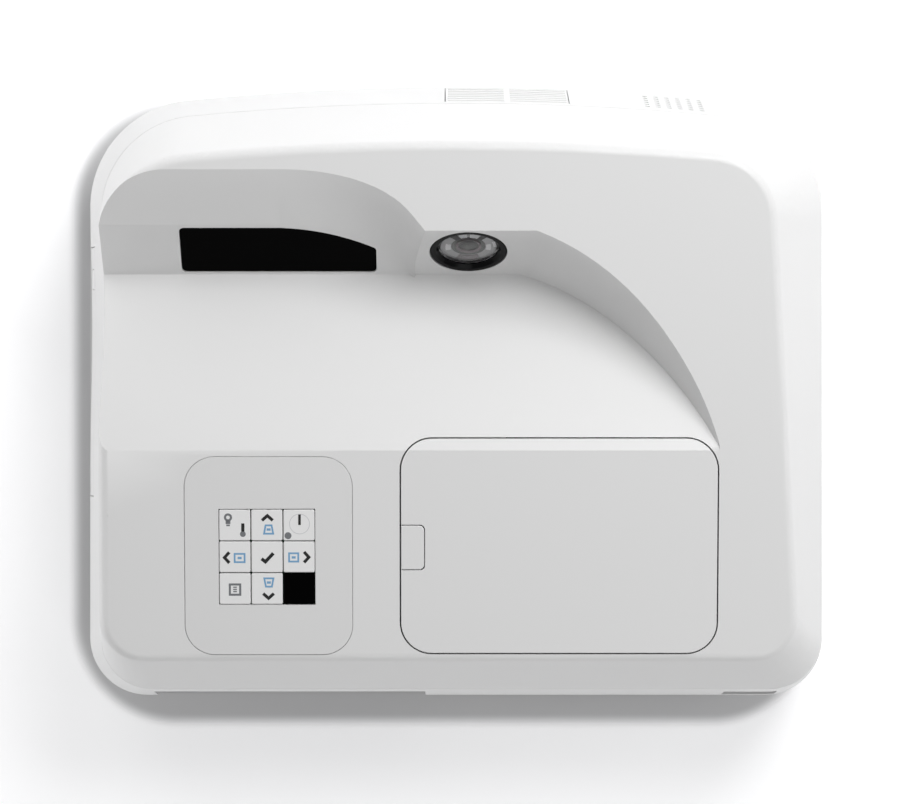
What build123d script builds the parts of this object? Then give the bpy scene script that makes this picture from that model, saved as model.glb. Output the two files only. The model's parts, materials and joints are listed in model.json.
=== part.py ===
from build123d import *
import os
from dataclasses import dataclass
from math import radians, sqrt, tan

os.makedirs("parts", exist_ok=True)

# Projector lying on its feet: +X to its right, +Y towards its rear hump, +Z up, millimetres.
# The origin is the middle of its bounding box, on the surface that it stands on.

# ---------------------------------------------------------------- case
case_width = 383.0
case_depth = 318.0
case_wall = 2.6
case_floor = 3.0
underside_z = 10.0
belly_z = 26.0
seam_z = 72.0
seam_gap = 0.8
crown_z = 135.0            # where the cover's sloping sides are drawn up to, before the deck cuts them
rear_bow_radius = 1400.0
waist_depth = 2.4          # how far the left side draws in beside the scoop, at the seam
belly_waist = 0.8
underside_edge_radius = 3.0

underside_inset = 9.5
seam_inset_left = 10.5
seam_inset_right = 5.5
seam_inset_front = 7.0
seam_inset_rear = 12.5
crown_inset_left = 13.0
crown_inset_right = 43.5
crown_inset_front = 51.5
crown_inset_rear = 43.0

belly_rear_corner = 56.0
belly_front_corner = 30.0
underside_rear_corner = 46.0
underside_front_corner = 22.0
seam_rear_corner = 50.0
seam_front_corner = 26.0
crown_rear_left_corner = 50.0
crown_rear_right_corner = 26.0
crown_front_corner = 16.0

left_x = -case_width / 2
right_x = case_width / 2
front_y = -case_depth / 2
rear_y = case_depth / 2
floor_z = underside_z + case_floor

# ---------------------------------------------------------------- top faces
deck_front_y = front_y + 25.0
deck_front_z = 96.0
deck_tilt = 5.7
deck_edge_radius = 6.0
fold_y = front_y + 129.0   # where the deck folds down into the floor of the scoop
window_base_y = rear_y - 100.0
window_base_z = 78.0
window_tilt = 45.0
camera_wall_tilt = 61.0

# ---------------------------------------------------------------- scoop
scoop_top_z = 140.0
scoop_left_x = left_x - 23.5
scoop_front_y = fold_y - 45.0
scoop_closing_y = window_base_y - 19.0
scoop_exit_run = 8.0
ridge_x = -21.0
ridge_foot_run = -9.0      # of the ridge's foot, behind the window's base
arch_start_x = -45.0
# The arch's foot and brow: x, and distance behind the window's base.
arch_foot_runs = [(-88.0, 24.0), (-64.0, 21.2), (-40.0, 14.0), (-28.5, 6.0), (ridge_x, ridge_foot_run)]
arch_brow_runs = [(-90.0, 50.5), (-55.0, 43.5), (-31.0, 32.0), (-22.0, 26.0), (-15.5, 20.0)]
# The long wall's curve, as shares of its run to the right and to the front.
sweep_start_x = 32.0
sweep_shape = [(0.0, 0.0), (0.232, 0.104), (0.465, 0.272), (0.687, 0.503), (0.859, 0.74), (1.0, 1.0)]
waist_front_y = fold_y - 12.0
waist_rear_y = window_base_y + 47.0

# ---------------------------------------------------------------- window and camera
window_left_x = left_x + 52.5
window_margin = 1.8
window_thickness = 2.0
window_sink = 0.4
window_corner = 2.5
gasket_lip = 2.0
gasket_thickness = 2.0
camera_x = 6.0
camera_height = 22.9       # of its centre, up the sloping wall from the floor
bezel_radius = 19.3
bezel_depth = 5.0
bezel_stand = 0.6
lens_radius = 14.6
lens_rise = 3.2            # of its dome, over the dome's rim
lens_sink = 1.6            # of the dome's rim, below the wall's face
barrel_radius = 12.0
barrel_length = 15.0
press_clearance = 0.3

# ---------------------------------------------------------------- keypad
key_grid_x = left_x + 96.5
key_grid_y = front_y + 75.5
key_pitch = 16.1
key_gap = 0.5
key_thickness = 2.6
key_edge = 0.35
key_stem_radius = 2.2
key_stem_depth = 7.0
switch_gap = 0.7
panel_width = 84.0
panel_depth = 100.0
panel_corner = 15.0
panel_thickness = 1.2
panel_gap = 0.25
panel_x = key_grid_x + 0.8
panel_y = key_grid_y + 0.5
board_thickness = 1.6
switch_height = 1.3
keypad_board_side = 64.0
keypad_post_spread = 56.0
keypad_post_radius = 2.4

# ---------------------------------------------------------------- lamp door
door_left_x = panel_x + panel_width / 2 + 24.4
door_right_x = right_x - 60.8
door_front_y = front_y + 27.0
door_rear_y = fold_y + 5.6
door_corner = 15.5
door_gap = 0.7
door_thickness = 2.4
door_rib = 1.2
door_rib_depth = 3.0
door_rib_margin_x = 31.0   # of the ribs' ends, inside the door's edges
door_rib_margin_y = 15.0
hinge_offset = 22.0        # of the pins, to the right of the door's edge
hinge_drop = 6.4           # of the pins, below the deck
hinge_pin_radius = 1.5
hinge_boss_radius = 3.2
hinge_clearance = 0.08
arm_thickness = 5.0
arm_section = 3.4
arm_clearance = 0.45
arm_front_y = door_front_y + 14.0
arm_rear_y = door_rear_y - 17.6
ear_thickness = 4.0
side_clearance = 0.3
latch_y = (door_front_y + door_rear_y) / 2 - 0.6
latch_length = 23.0
latch_width = 12.0
latch_corner = 2.5
latch_gap = 0.4
latch_axis_inset = 1.6
latch_axis_drop = 3.8
latch_pin_radius = 1.0
latch_pin_clearance = 0.12
latch_leg_depth = 9.0
latch_leg_width = 12.0
latch_ear = 2.5
latch_ear_width = 4.8
latch_web = 2.4
latch_leg = 2.0
catch_gap = 0.45

# ---------------------------------------------------------------- lamp and optics
lamp_bay_right_x = door_right_x - 4.9
lamp_bay_left_x = lamp_bay_right_x - 105.8
lamp_bay_front_y = door_front_y + 6.0
lamp_bay_rear_y = door_rear_y - 9.6
lamp_bay_top_z = 87.0
lamp_length = 58.0
lamp_half = 31.0
lamp_top_z = 84.0
lamp_corner = 3.0
lamp_grip = (4.0, 32.0, 7.0)          # thickness, width and height of the lamp's handle
reflector_length = 38.0
reflector_wall = 1.6
burner_radius = 5.0        # of the hole at the reflector's back
sheet = 1.4
deck_of_boards_z = 24.0    # height of the posts that carry the boards and the bay
light_y = front_y + 75.0
light_z = 62.0
light_port_radius = 13.0
reflector_radius = 20.5
lens_x = left_x + 101.5
lens_z = 62.0
wheel_x = lamp_bay_left_x - 16.0
engine_left_x = left_x + 65.5
engine_right_x = wheel_x - 24.0
engine_front_y = front_y + 39.0
engine_rear_y = front_y + 117.0
engine_bottom_z = 46.0
engine_top_z = 80.0
lens_tube_radius = 13.5
lens_length = 76.0
focus_ring_radius = 16.5
focus_ring_width = 12.0
wheel_radius = 22.0
wheel_thickness = 1.2
mirror_width = 116.0
mirror_height = 58.0
mirror_bottom_z = 33.0
mirror_front_y = rear_y - 61.0
mirror_depth = 14.0
mirror_radius = 150.0
mirror_frame_depth = 4.0

# ---------------------------------------------------------------- fans
fan_side = 60.0
fan_bore_radius = fan_side / 2 - 1.7
impeller_radius = fan_bore_radius - 0.9
hub_radius = 13.0
exhaust_fan_depth = 20.0
exhaust_fan_y = front_y + 77.0
exhaust_fan_inset = 37.5
intake_fan_depth = 15.0
intake_fan_x = 26.0
intake_fan_inset = 26.0
grille_gap = 0.4
slot_height = 2.4
slot_pitch = 5.2
grille_slots = 7
grille_width = 64.0
grille_height = 39.0
grille_z = 48.0

# ---------------------------------------------------------------- disc drive
disc_radius = 60.0
drive_y = 10.0
drive_width = 2 * disc_radius + 8.0
drive_length = 2 * disc_radius + 18.0
drive_inset = 7.5
drive_bottom_z = 25.0
drive_height = 16.0
drive_sheet = 1.0
tray_clearance = 0.4
tray_rise = 1.0
tray_thickness = 12.0
tray_recess_depth = 2.2
bezel_height = 13.0
bezel_bottom_z = 27.0
bezel_gap = 0.4
spindle_pocket_radius = 16.0
turntable_radius = 14.5
hub_nose_radius = 7.3
sled_slot_start = 18.0
sled_slot_end = 62.0
sled_slot_half = 17.0
sled_length = 14.0
sled_rod_radius = 1.2
sled_rod_half = 13.0
eject_length = 10.0
eject_height = 4.0
eject_y = drive_y + drive_width / 2 - 16.0
eject_travel = 1.0

# ---------------------------------------------------------------- feet, mounts and screws
foot_x = right_x - 39.5
foot_front_y = front_y + 37.0
foot_rear_y = rear_y - 47.0
foot_radius = 12.0
foot_stud_radius = 4.0
foot_stud_clearance = 0.15
foot_boss_radius = 8.0
foot_boss_top_z = 28.0
mount_spacing_x = 200.0
mount_spacing_y = 120.0
mount_y = 10.0
mount_bore_radius = 2.0
insert_radius = 3.2
insert_length = 9.0
mount_boss_radius = 6.0
mount_boss_top_z = 23.0
screw_radius = 1.6
screw_head_radius = 3.2
screw_boss_radius = 4.6
screw_head_z = 58.0
screw_top_z = 84.0

# ---------------------------------------------------------------- speaker
speaker_x = right_x - 79.5
speaker_z = 48.0
speaker_radius = 19.0
speaker_depth = 16.0
speaker_hole_radius = 1.5
speaker_hole_pitch = 5.6
speaker_flange = 2.0

# ---------------------------------------------------------------- connectors
io_left_x = left_x + 35.5
io_right_x = io_left_x + 140.0
io_bottom_z = 24.5
io_top_z = 52.0
io_panel_thickness = 1.5
io_panel_setback = 11.3    # of the panel's face, behind the front of the belly
socket_depth = 8.0
socket_length = 15.0
socket_stand = 2.4         # of the sockets' mouths, in front of the panel
socket_wall = 0.8
# Distance from the bay's left end, width and height of each socket.
sockets = [
    (18.5, 31.0, 12.5),
    (44.0, 15.0, 6.2),
    (63.5, 15.0, 6.2),
    (81.0, 14.4, 7.0),
    (97.0, 12.0, 11.0),
    (114.0, 16.0, 13.6),
    (128.5, 7.5, 7.5),
]
inlet_x = right_x - 39.5
inlet_wall = 2.0
inlet_pin_spread = 7.0
inlet_width = 27.0
inlet_height = 20.0
inlet_depth = 24.0
inlet_z = 40.0

# ---------------------------------------------------------------- worked-out places
deck_rise = tan(radians(deck_tilt))
fold_z = deck_front_z + (fold_y - deck_front_y) * deck_rise
floor_rise = (window_base_z - fold_z) / (window_base_y - fold_y)
window_rise = tan(radians(window_tilt))
arch_foot = [(x, window_base_y + run) for x, run in arch_foot_runs]
arch_brow = [(x, window_base_y + run) for x, run in arch_brow_runs]
ridge_foot_y = window_base_y + ridge_foot_run
sweep_end_x = door_right_x + 0.3
sweep_end_y = fold_y + 2.5
sweep_base = [
    (
        sweep_start_x + (sweep_end_x - sweep_start_x) * across,
        window_base_y + (sweep_end_y - window_base_y) * along,
    )
    for across, along in sweep_shape
]


def leaning_plane(y, z, rise):
    """Plane through (0, y, z) that climbs by rise for each millimetre towards the rear."""
    slant = sqrt(1 + rise**2)
    return Plane(origin=(0, y, z), x_dir=(1, 0, 0), z_dir=(0, -rise / slant, 1 / slant))


deck = leaning_plane(deck_front_y, deck_front_z, deck_rise)
scoop_floor = leaning_plane(fold_y, fold_z, floor_rise)
window_plane = leaning_plane(window_base_y, window_base_z, window_rise)
camera_plane = leaning_plane(window_base_y, window_base_z, tan(radians(camera_wall_tilt)))


def height_on(plane, y):
    """Height of a leaning plane at a given y."""
    return plane.origin.Z - (y - plane.origin.Y) * plane.z_dir.Y / plane.z_dir.Z


def on(plane, x, y):
    """Plan point (x, y) dropped onto a leaning plane, in that plane's own coordinates."""
    spot = plane.to_local_coords(Vector(x, y, height_on(plane, y)))
    return (spot.X, spot.Y)


def pushed(points, distance):
    """Plan points moved to their left by distance, one value or one for each point."""
    moved = []
    for i, (x, y) in enumerate(points):
        before = Vector(*points[max(i - 1, 0)])
        after = Vector(*points[min(i + 1, len(points) - 1)])
        way = (after - before).normalized()
        step = distance[i] if isinstance(distance, list) else distance
        moved.append((x - way.Y * step, y + way.X * step))
    return moved


def keep(piece, label):
    """Labels a finished piece and writes it."""
    piece.part.label = label
    export_step(piece.part, f"parts/{label}.step")


def block(x0, x1, y0, y1, z0, z1, mode=Mode.ADD):
    """Upright block between six faces, in the part that is being built."""
    with BuildSketch(Plane.XY.offset(z0)) as base:
        with Locations(((x0 + x1) / 2, (y0 + y1) / 2)):
            Rectangle(x1 - x0, y1 - y0)
    extrude(base.sketch, amount=z1 - z0, mode=mode)


def placed(plane, x, y, rise=0.0):
    """The same plane with its origin moved within it, and along its normal."""
    return Plane(origin=plane.from_local_coords((x, y, rise)), x_dir=plane.x_dir, z_dir=plane.z_dir)


def turned(plane, profile, mode=Mode.ADD):
    """Turned piece: a profile of (radius, height) points revolved about a plane's normal."""
    with BuildSketch(Plane(origin=plane.origin, x_dir=plane.x_dir, z_dir=-plane.y_dir)) as half:
        with BuildLine():
            Polyline(*profile, close=True)
        make_face()
    revolve(half.sketch, axis=Axis(plane.origin, plane.z_dir), mode=mode)


def posts(spots, radius, z0, z1, mode=Mode.ADD):
    """Round posts at several spots between two heights, in the part that is being built."""
    with BuildSketch(Plane.XY.offset(z0)) as base:
        with Locations(*spots):
            Circle(radius)
    extrude(base.sketch, amount=z1 - z0, mode=mode)


def rod(plane, spot, radius, length, mode=Mode.ADD):
    """Round rod that rises from a plane, in the part that is being built."""
    with BuildSketch(plane) as base:
        with Locations(spot):
            Circle(radius)
    extrude(base.sketch, amount=length, mode=mode)


# ---------------------------------------------------------------- the case's outer form
@dataclass
class Level:
    """One closed outline of the case: its height, its four sides and its corner radii."""

    z: float
    left: float
    right: float
    front: float
    rear: float
    rear_left: float
    rear_right: float
    front_left: float
    front_right: float
    waist: float


underside = Level(
    z=underside_z,
    left=left_x + underside_inset,
    right=right_x - underside_inset,
    front=front_y + underside_inset,
    rear=rear_y - underside_inset,
    rear_left=underside_rear_corner,
    rear_right=underside_rear_corner,
    front_left=underside_front_corner,
    front_right=underside_front_corner,
    waist=belly_waist,
)
belly = Level(
    z=belly_z,
    left=left_x,
    right=right_x,
    front=front_y,
    rear=rear_y,
    rear_left=belly_rear_corner,
    rear_right=belly_rear_corner,
    front_left=belly_front_corner,
    front_right=belly_front_corner,
    waist=belly_waist,
)
seam = Level(
    z=seam_z,
    left=left_x + seam_inset_left,
    right=right_x - seam_inset_right,
    front=front_y + seam_inset_front,
    rear=rear_y - seam_inset_rear,
    rear_left=seam_rear_corner,
    rear_right=seam_rear_corner,
    front_left=seam_front_corner,
    front_right=seam_front_corner,
    waist=waist_depth,
)
crown = Level(
    z=crown_z,
    left=left_x + crown_inset_left,
    right=right_x - crown_inset_right,
    front=front_y + crown_inset_front,
    rear=rear_y - crown_inset_rear,
    rear_left=crown_rear_left_corner,
    rear_right=crown_rear_right_corner,
    front_left=crown_front_corner,
    front_right=crown_front_corner,
    waist=waist_depth,
)


def bow_y(level, inset, x):
    """The bowed rear edge's y at a given x."""
    return level.rear - inset - (rear_bow_radius - sqrt(rear_bow_radius**2 - x**2))


def outline(level, z, inset):
    """A level's outline at a height, drawn in by inset."""
    left = level.left + inset
    right = level.right - inset
    front = level.front + inset
    with BuildSketch(Plane.XY.offset(z)) as plan:
        with BuildLine():
            Line((left, front), (right, front))
            Line((right, front), (right, bow_y(level, inset, right)))
            ThreePointArc(
                (right, bow_y(level, inset, right)),
                (0, level.rear - inset),
                (left, bow_y(level, inset, left)),
            )
            Line((left, bow_y(level, inset, left)), (left, front))
        make_face()
        corners = [
            (left, front, level.front_left),
            (right, front, level.front_right),
            (right, bow_y(level, inset, right), level.rear_right),
            (left, bow_y(level, inset, left), level.rear_left),
        ]
        for x, y, radius in corners:
            corner = plan.vertices().sort_by_distance((x, y, 0))[0]
            fillet(corner, radius - inset)
    return plan.sketch


def case_form(lower, upper, inset, z0, z1):
    """Solid between two levels, drawn at heights z0 and z1."""
    with BuildPart() as form:
        loft([outline(lower, z0, inset), outline(upper, z1, inset)], ruled=True)
    return form.part


def waist_form(lower, upper, inset):
    """Cutter that draws the left side in between two levels, deepest halfway along it."""
    outside_x = left_x - case_wall
    middle_y = (waist_front_y + waist_rear_y) / 2
    with BuildPart() as form:
        for level in (lower, upper):
            side = level.left + inset
            with BuildSketch(Plane.XY.offset(level.z)):
                with BuildLine():
                    Spline(
                        (side, waist_front_y),
                        (side + level.waist, middle_y),
                        (side, waist_rear_y),
                        tangents=[(0, 1), (0, 1)],
                    )
                    Polyline(
                        (side, waist_rear_y),
                        (outside_x, waist_rear_y),
                        (outside_x, waist_front_y),
                        (side, waist_front_y),
                    )
                make_face()
        loft(ruled=True)
    return form.part


# ---------------------------------------------------------------- the scoop in the top
def floor_scoop(grow):
    """Cutter over the scoop's floor and its long curved wall, grown outwards by grow."""
    floor = scoop_floor.offset(-grow)
    base = pushed(sweep_base, grow)
    wall_slope = tan(radians(camera_wall_tilt))
    lean = [(scoop_top_z - height_on(floor, y)) / wall_slope for x, y in base]
    rim = pushed(base, lean)
    ridge = ridge_x - grow
    with BuildPart() as cutter:
        for plane, curve in ((floor, base), (Plane.XY.offset(scoop_top_z), rim)):
            start = [
                (scoop_left_x, window_base_y),
                (arch_start_x, window_base_y),
                (ridge, ridge_foot_y),
                (ridge, curve[0][1]),
                curve[0],
            ]
            end = [
                curve[-1],
                (curve[-1][0] + scoop_exit_run, scoop_front_y),
                (scoop_left_x, scoop_front_y),
                (scoop_left_x, window_base_y),
            ]
            with BuildSketch(plane):
                with BuildLine():
                    Polyline(*[on(plane, *spot) for spot in start])
                    Spline(*[on(plane, *spot) for spot in curve])
                    Polyline(*[on(plane, *spot) for spot in end])
                make_face()
        loft(ruled=True)
    return cutter.part


def arch_scoop(grow):
    """Cutter over the window's plane and the arched brow above it, grown outwards by grow."""
    sill = window_plane.offset(-grow)
    foot = pushed(arch_foot, grow)
    brow = pushed(arch_brow, grow)
    rim = []
    for (low_x, low_y), (high_x, high_y) in zip(foot, brow):
        low = height_on(window_plane, low_y)
        high = height_on(deck, high_y)
        stretch = (scoop_top_z - low) / (high - low)
        rim.append((low_x + (high_x - low_x) * stretch, low_y + (high_y - low_y) * stretch))
    with BuildPart() as cutter:
        for plane, curve in ((sill, foot), (Plane.XY.offset(scoop_top_z), rim)):
            end = [
                curve[-1],
                (curve[-1][0], scoop_closing_y),
                (scoop_left_x, scoop_closing_y),
                (scoop_left_x, curve[0][1]),
            ]
            with BuildSketch(plane):
                with BuildLine():
                    Line(on(plane, scoop_left_x, curve[0][1]), on(plane, *curve[0]))
                    Spline(*[on(plane, *spot) for spot in curve])
                    Polyline(*[on(plane, *spot) for spot in end])
                make_face()
        loft(ruled=True)
        split(bisect_by=scoop_floor.offset(-grow), keep=Keep.TOP)
    return cutter.part


# ---------------------------------------------------------------- bottom case
foot_spots = [
    (-foot_x, foot_front_y),
    (foot_x, foot_front_y),
    (-foot_x, foot_rear_y),
    (foot_x, foot_rear_y),
]
drive_front_x = left_x + drive_inset
drive_rear_x = drive_front_x + drive_length
drive_side = drive_width / 2
drive_post_inset = 12.0
exhaust_fan_x = right_x - exhaust_fan_inset
intake_fan_y = rear_y - intake_fan_inset
supply_right_x = right_x - 41.5
supply_left_x = supply_right_x - 126.0
supply_front_y = lamp_bay_rear_y + 28.0
supply_rear_y = rear_y - 75.0
ballast_left_x = lamp_bay_left_x + 6.0
ballast_right_x = lamp_bay_right_x - 2.0
ballast_front_y = lamp_bay_rear_y + 3.0
ballast_rear_y = supply_front_y - 3.0
main_left_x = left_x + 33.5
main_right_x = lamp_bay_left_x - 38.0
main_front_y = front_y + 13.0
main_rear_y = drive_y - drive_side - 14.0
screw_spots = [
    (left_x + 20.5, main_rear_y + 2),
    (io_right_x + 11, deck_front_y),
    (right_x - 23.5, exhaust_fan_y + 58),
    (right_x - 33.5, rear_y - 67),
    (-12.0, rear_y - 33),
    (left_x + 31.5, rear_y - 67),
]
post_radius = 3.0
post_inset = 6.0


def four_corners(x0, x1, y0, y1, inset):
    """Four spots a little inside the corners of a rectangle."""
    return [
        (x0 + inset, y0 + inset),
        (x1 - inset, y0 + inset),
        (x0 + inset, y1 - inset),
        (x1 - inset, y1 - inset),
    ]


board_posts = [
    *four_corners(main_left_x, main_right_x, main_front_y, main_rear_y, post_inset),
    *four_corners(supply_left_x, supply_right_x, supply_front_y, supply_rear_y, post_inset),
    *four_corners(ballast_left_x, ballast_right_x, ballast_front_y, ballast_rear_y, post_inset),
    *four_corners(lamp_bay_left_x, lamp_bay_right_x, lamp_bay_front_y, lamp_bay_rear_y, post_inset),
]
engine_posts = [
    (engine_left_x + post_inset, engine_front_y + post_inset),
    (engine_right_x - post_inset, engine_front_y + post_inset),
    (engine_left_x + post_inset, main_rear_y + post_inset),
    (engine_right_x - 2 * post_inset, main_rear_y + post_inset),
]
drive_posts = four_corners(
    drive_front_x, drive_rear_x, drive_y - drive_side, drive_y + drive_side, drive_post_inset
)

# Where the grilles and the connector bay pierce the walls.
exhaust_x = right_x - 15.0
intake_y = rear_y - 25.0

with BuildPart() as flare:
    add(case_form(belly, seam, 0, belly.z, seam.z))
    add(waist_form(belly, seam, 0), mode=Mode.SUBTRACT)

with BuildPart() as bowl:
    add(case_form(underside, belly, 0, underside.z, belly.z))
    fillet(bowl.faces().sort_by(Axis.Z)[0].edges(), underside_edge_radius)
    add(flare.part)
    split(bisect_by=Plane.XY.offset(seam_z - seam_gap), keep=Keep.BOTTOM)

with BuildPart() as bowl_hollow:
    add(case_form(belly, seam, case_wall, belly.z, seam.z))
    add(waist_form(belly, seam, case_wall), mode=Mode.SUBTRACT)
    add(case_form(underside, belly, case_wall, floor_z, belly.z))

with BuildPart() as wall_ring:
    add(bowl.part)
    add(bowl_hollow.part, mode=Mode.SUBTRACT)

mount_spots = [
    (-mount_spacing_x / 2, mount_y - mount_spacing_y / 2),
    (mount_spacing_x / 2, mount_y - mount_spacing_y / 2),
    (-mount_spacing_x / 2, mount_y + mount_spacing_y / 2),
    (mount_spacing_x / 2, mount_y + mount_spacing_y / 2),
]
grille_low_z = grille_z - grille_height / 2
grille_high_z = grille_z + grille_height / 2
bezel_end = drive_side + 0.6
bezel_half = bezel_end + bezel_gap
grille_rib = 3.0
speaker_holes_across = 6
vent_pitch = 7.0
vent_length = 34.0
vent_width = 3.0
vents_across = 9
root = 1.0                 # how deep a post or rib is rooted in the wall that carries it


def grille_slot_cut(plane, across, amount):
    """Cuts two columns of level slots through a wall, centred at (across, grille_z)."""
    column = grille_width / 2
    with BuildSketch(plane) as slots:
        with Locations((across, grille_z)):
            with GridLocations(column, slot_pitch, 2, grille_slots):
                Rectangle(column - grille_rib, slot_height)
    extrude(slots.sketch, amount=amount, mode=Mode.SUBTRACT)


with BuildPart() as bottom_case:
    add(wall_ring.part)
    posts(board_posts, post_radius, floor_z - root, deck_of_boards_z)
    posts(engine_posts, post_radius + 1.0, floor_z - root, engine_bottom_z)
    posts(drive_posts, post_radius, floor_z - root, drive_bottom_z)
    posts(foot_spots, foot_boss_radius, floor_z - root, foot_boss_top_z)
    posts(mount_spots, mount_boss_radius, floor_z - root, mount_boss_top_z)
    posts(screw_spots, screw_boss_radius, floor_z - root, seam_z)
    posts(foot_spots, foot_stud_radius + foot_stud_clearance, 0, foot_boss_top_z - 2, Mode.SUBTRACT)
    posts(mount_spots, insert_radius, 0, underside_z + insert_length, Mode.SUBTRACT)
    posts(screw_spots, screw_head_radius + 0.2, 0, screw_head_z, Mode.SUBTRACT)
    posts(screw_spots, screw_radius + 0.15, 0, seam_z + root, Mode.SUBTRACT)
    block(
        exhaust_x, right_x + 1,
        exhaust_fan_y - grille_width / 2, exhaust_fan_y + grille_width / 2,
        grille_low_z, grille_high_z, Mode.SUBTRACT,
    )
    block(
        intake_fan_x - grille_width / 2, intake_fan_x + grille_width / 2,
        intake_y, rear_y + 1,
        grille_low_z, grille_high_z, Mode.SUBTRACT,
    )
    block(io_left_x, io_right_x, front_y - 1, front_y + 12, io_bottom_z, io_top_z, Mode.SUBTRACT)
    block(
        inlet_x - inlet_width / 2 - side_clearance, inlet_x + inlet_width / 2 + side_clearance,
        front_y - 1, front_y + 16,
        inlet_z - inlet_height / 2 - side_clearance, inlet_z + inlet_height / 2 + side_clearance,
        Mode.SUBTRACT,
    )
    block(
        left_x - 1, left_x + 9,
        drive_y - bezel_half, drive_y + bezel_half,
        bezel_bottom_z - bezel_gap, bezel_bottom_z + bezel_height + bezel_gap,
        Mode.SUBTRACT,
    )
    with BuildSketch(Plane.XZ.offset(-rear_y - 1)) as speaker_holes:
        with Locations((speaker_x, speaker_z)):
            holes = speaker_holes_across
            with GridLocations(speaker_hole_pitch, speaker_hole_pitch, holes, holes):
                Circle(speaker_hole_radius)
    extrude(speaker_holes.sketch, amount=24, mode=Mode.SUBTRACT)
    with BuildSketch(Plane.XY.offset(underside_z - 1)) as vents:
        with Locations(((supply_left_x + supply_right_x) / 2, (supply_front_y + supply_rear_y) / 2)):
            with GridLocations(vent_pitch, 0, vents_across, 1):
                SlotOverall(vent_length, vent_width, rotation=90)
    extrude(vents.sketch, amount=case_floor + 2, mode=Mode.SUBTRACT)
keep(bottom_case, "bottom_case")

with BuildPart() as exhaust_grille:
    add(wall_ring.part)
    block(
        exhaust_x, right_x + 1,
        exhaust_fan_y - grille_width / 2 + grille_gap, exhaust_fan_y + grille_width / 2 - grille_gap,
        grille_low_z + grille_gap, grille_high_z - grille_gap, Mode.INTERSECT,
    )
    grille_slot_cut(Plane.YZ.offset(exhaust_x - 1), exhaust_fan_y, 20)
keep(exhaust_grille, "exhaust_grille")

with BuildPart() as filter_cover:
    add(wall_ring.part)
    block(
        intake_fan_x - grille_width / 2 + grille_gap, intake_fan_x + grille_width / 2 - grille_gap,
        intake_y, rear_y + 1,
        grille_low_z + grille_gap, grille_high_z - grille_gap, Mode.INTERSECT,
    )
    grille_slot_cut(Plane.XZ.offset(-rear_y - 1), intake_fan_x, 30)
keep(filter_cover, "filter_cover")

# ---------------------------------------------------------------- top cover
latch_axis_x = door_left_x + latch_width - latch_axis_inset
hinge_x = door_right_x + hinge_offset
key_row_v = on(deck, 0, key_grid_y)[1]
panel_v = on(deck, 0, panel_y)[1]
latch_v = on(deck, 0, latch_y)[1]
arm_vs = [on(deck, 0, arm_front_y)[1], on(deck, 0, arm_rear_y)[1]]
ear_sides = [-1, 1]        # each ear stands outboard of its arm
board_drop = key_stem_depth + switch_gap + switch_height
key_window = 3 * key_pitch + 0.1


def window_outline(inset):
    """The projection window's outline on its sloping wall, drawn in by inset."""
    left = window_left_x + inset
    foot = pushed(arch_foot[:3], -(window_margin + inset))
    low = on(window_plane, 0, window_base_y)[1] + window_margin + inset
    with BuildSketch(Plane.XY) as pane:
        with BuildLine():
            top = Spline(*[on(window_plane, *spot) for spot in foot])
            Polyline(
                top @ 1,
                ((top @ 1).X, low),
                (left, low),
                (left, (top @ 0).Y),
                top @ 0,
            )
        make_face()
        arch_start = foot[0][0] - 1
        arch_end = foot[2][0] - 1
        square = [v for v in pane.vertices() if v.X < arch_start or v.X > arch_end or v.Y < low + 1]
        fillet(square, window_corner)
    return window_plane.from_local_coords(pane.sketch)


def arm_plane(v):
    """Plane square to the door hinge at v along the deck, with its origin on the pins."""
    origin = deck.from_local_coords((hinge_x, v, -hinge_drop))
    return Plane(origin=origin, x_dir=(1, 0, 0), z_dir=-deck.y_dir)


with BuildPart() as cover_skin:
    add(case_form(seam, crown, 0, seam.z, crown.z))
    split(bisect_by=deck, keep=Keep.BOTTOM)
    fillet(cover_skin.faces().sort_by(Axis.Z)[-1].edges(), deck_edge_radius)
    add(waist_form(seam, crown, 0), mode=Mode.SUBTRACT)
    add(floor_scoop(0), mode=Mode.SUBTRACT)
    add(arch_scoop(0), mode=Mode.SUBTRACT)

with BuildPart() as cover_hollow:
    add(case_form(seam, crown, case_wall, seam.z, crown.z))
    split(bisect_by=deck.offset(-case_wall), keep=Keep.BOTTOM)
    add(waist_form(seam, crown, case_wall), mode=Mode.SUBTRACT)
    add(floor_scoop(case_wall), mode=Mode.SUBTRACT)
    add(arch_scoop(case_wall), mode=Mode.SUBTRACT)

with BuildPart() as cover_bosses:
    posts(screw_spots, screw_boss_radius, seam_z, crown_z)
    add(cover_skin.part, mode=Mode.INTERSECT)
    with BuildSketch(deck.offset(-board_drop)) as board_post_ring:
        with Locations((key_grid_x, key_row_v)):
            with GridLocations(keypad_post_spread, keypad_post_spread, 2, 2):
                Circle(keypad_post_radius)
    extrude(board_post_ring.sketch, amount=board_drop - case_wall + root)
    for v, side in zip(arm_vs, ear_sides):
        middle = v + side * (arm_thickness / 2 + side_clearance + ear_thickness / 2)
        with BuildSketch(arm_plane(middle)) as ear:
            Circle(hinge_boss_radius)
            with Locations((0, (hinge_drop - root) / 2)):
                Rectangle(2 * hinge_boss_radius, hinge_drop - root)
            Circle(hinge_pin_radius + hinge_clearance / 2, mode=Mode.SUBTRACT)
        extrude(ear.sketch, amount=ear_thickness / 2, both=True)
    catch_right = door_left_x - door_gap - 0.1
    with BuildSketch(deck.offset(-latch_leg_depth - 1)) as catch_rib:
        with Locations((catch_right - case_wall / 2, latch_v)):
            Rectangle(case_wall, latch_leg_width + 6)
    extrude(catch_rib.sketch, amount=latch_leg_depth + 1 - root)

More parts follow.
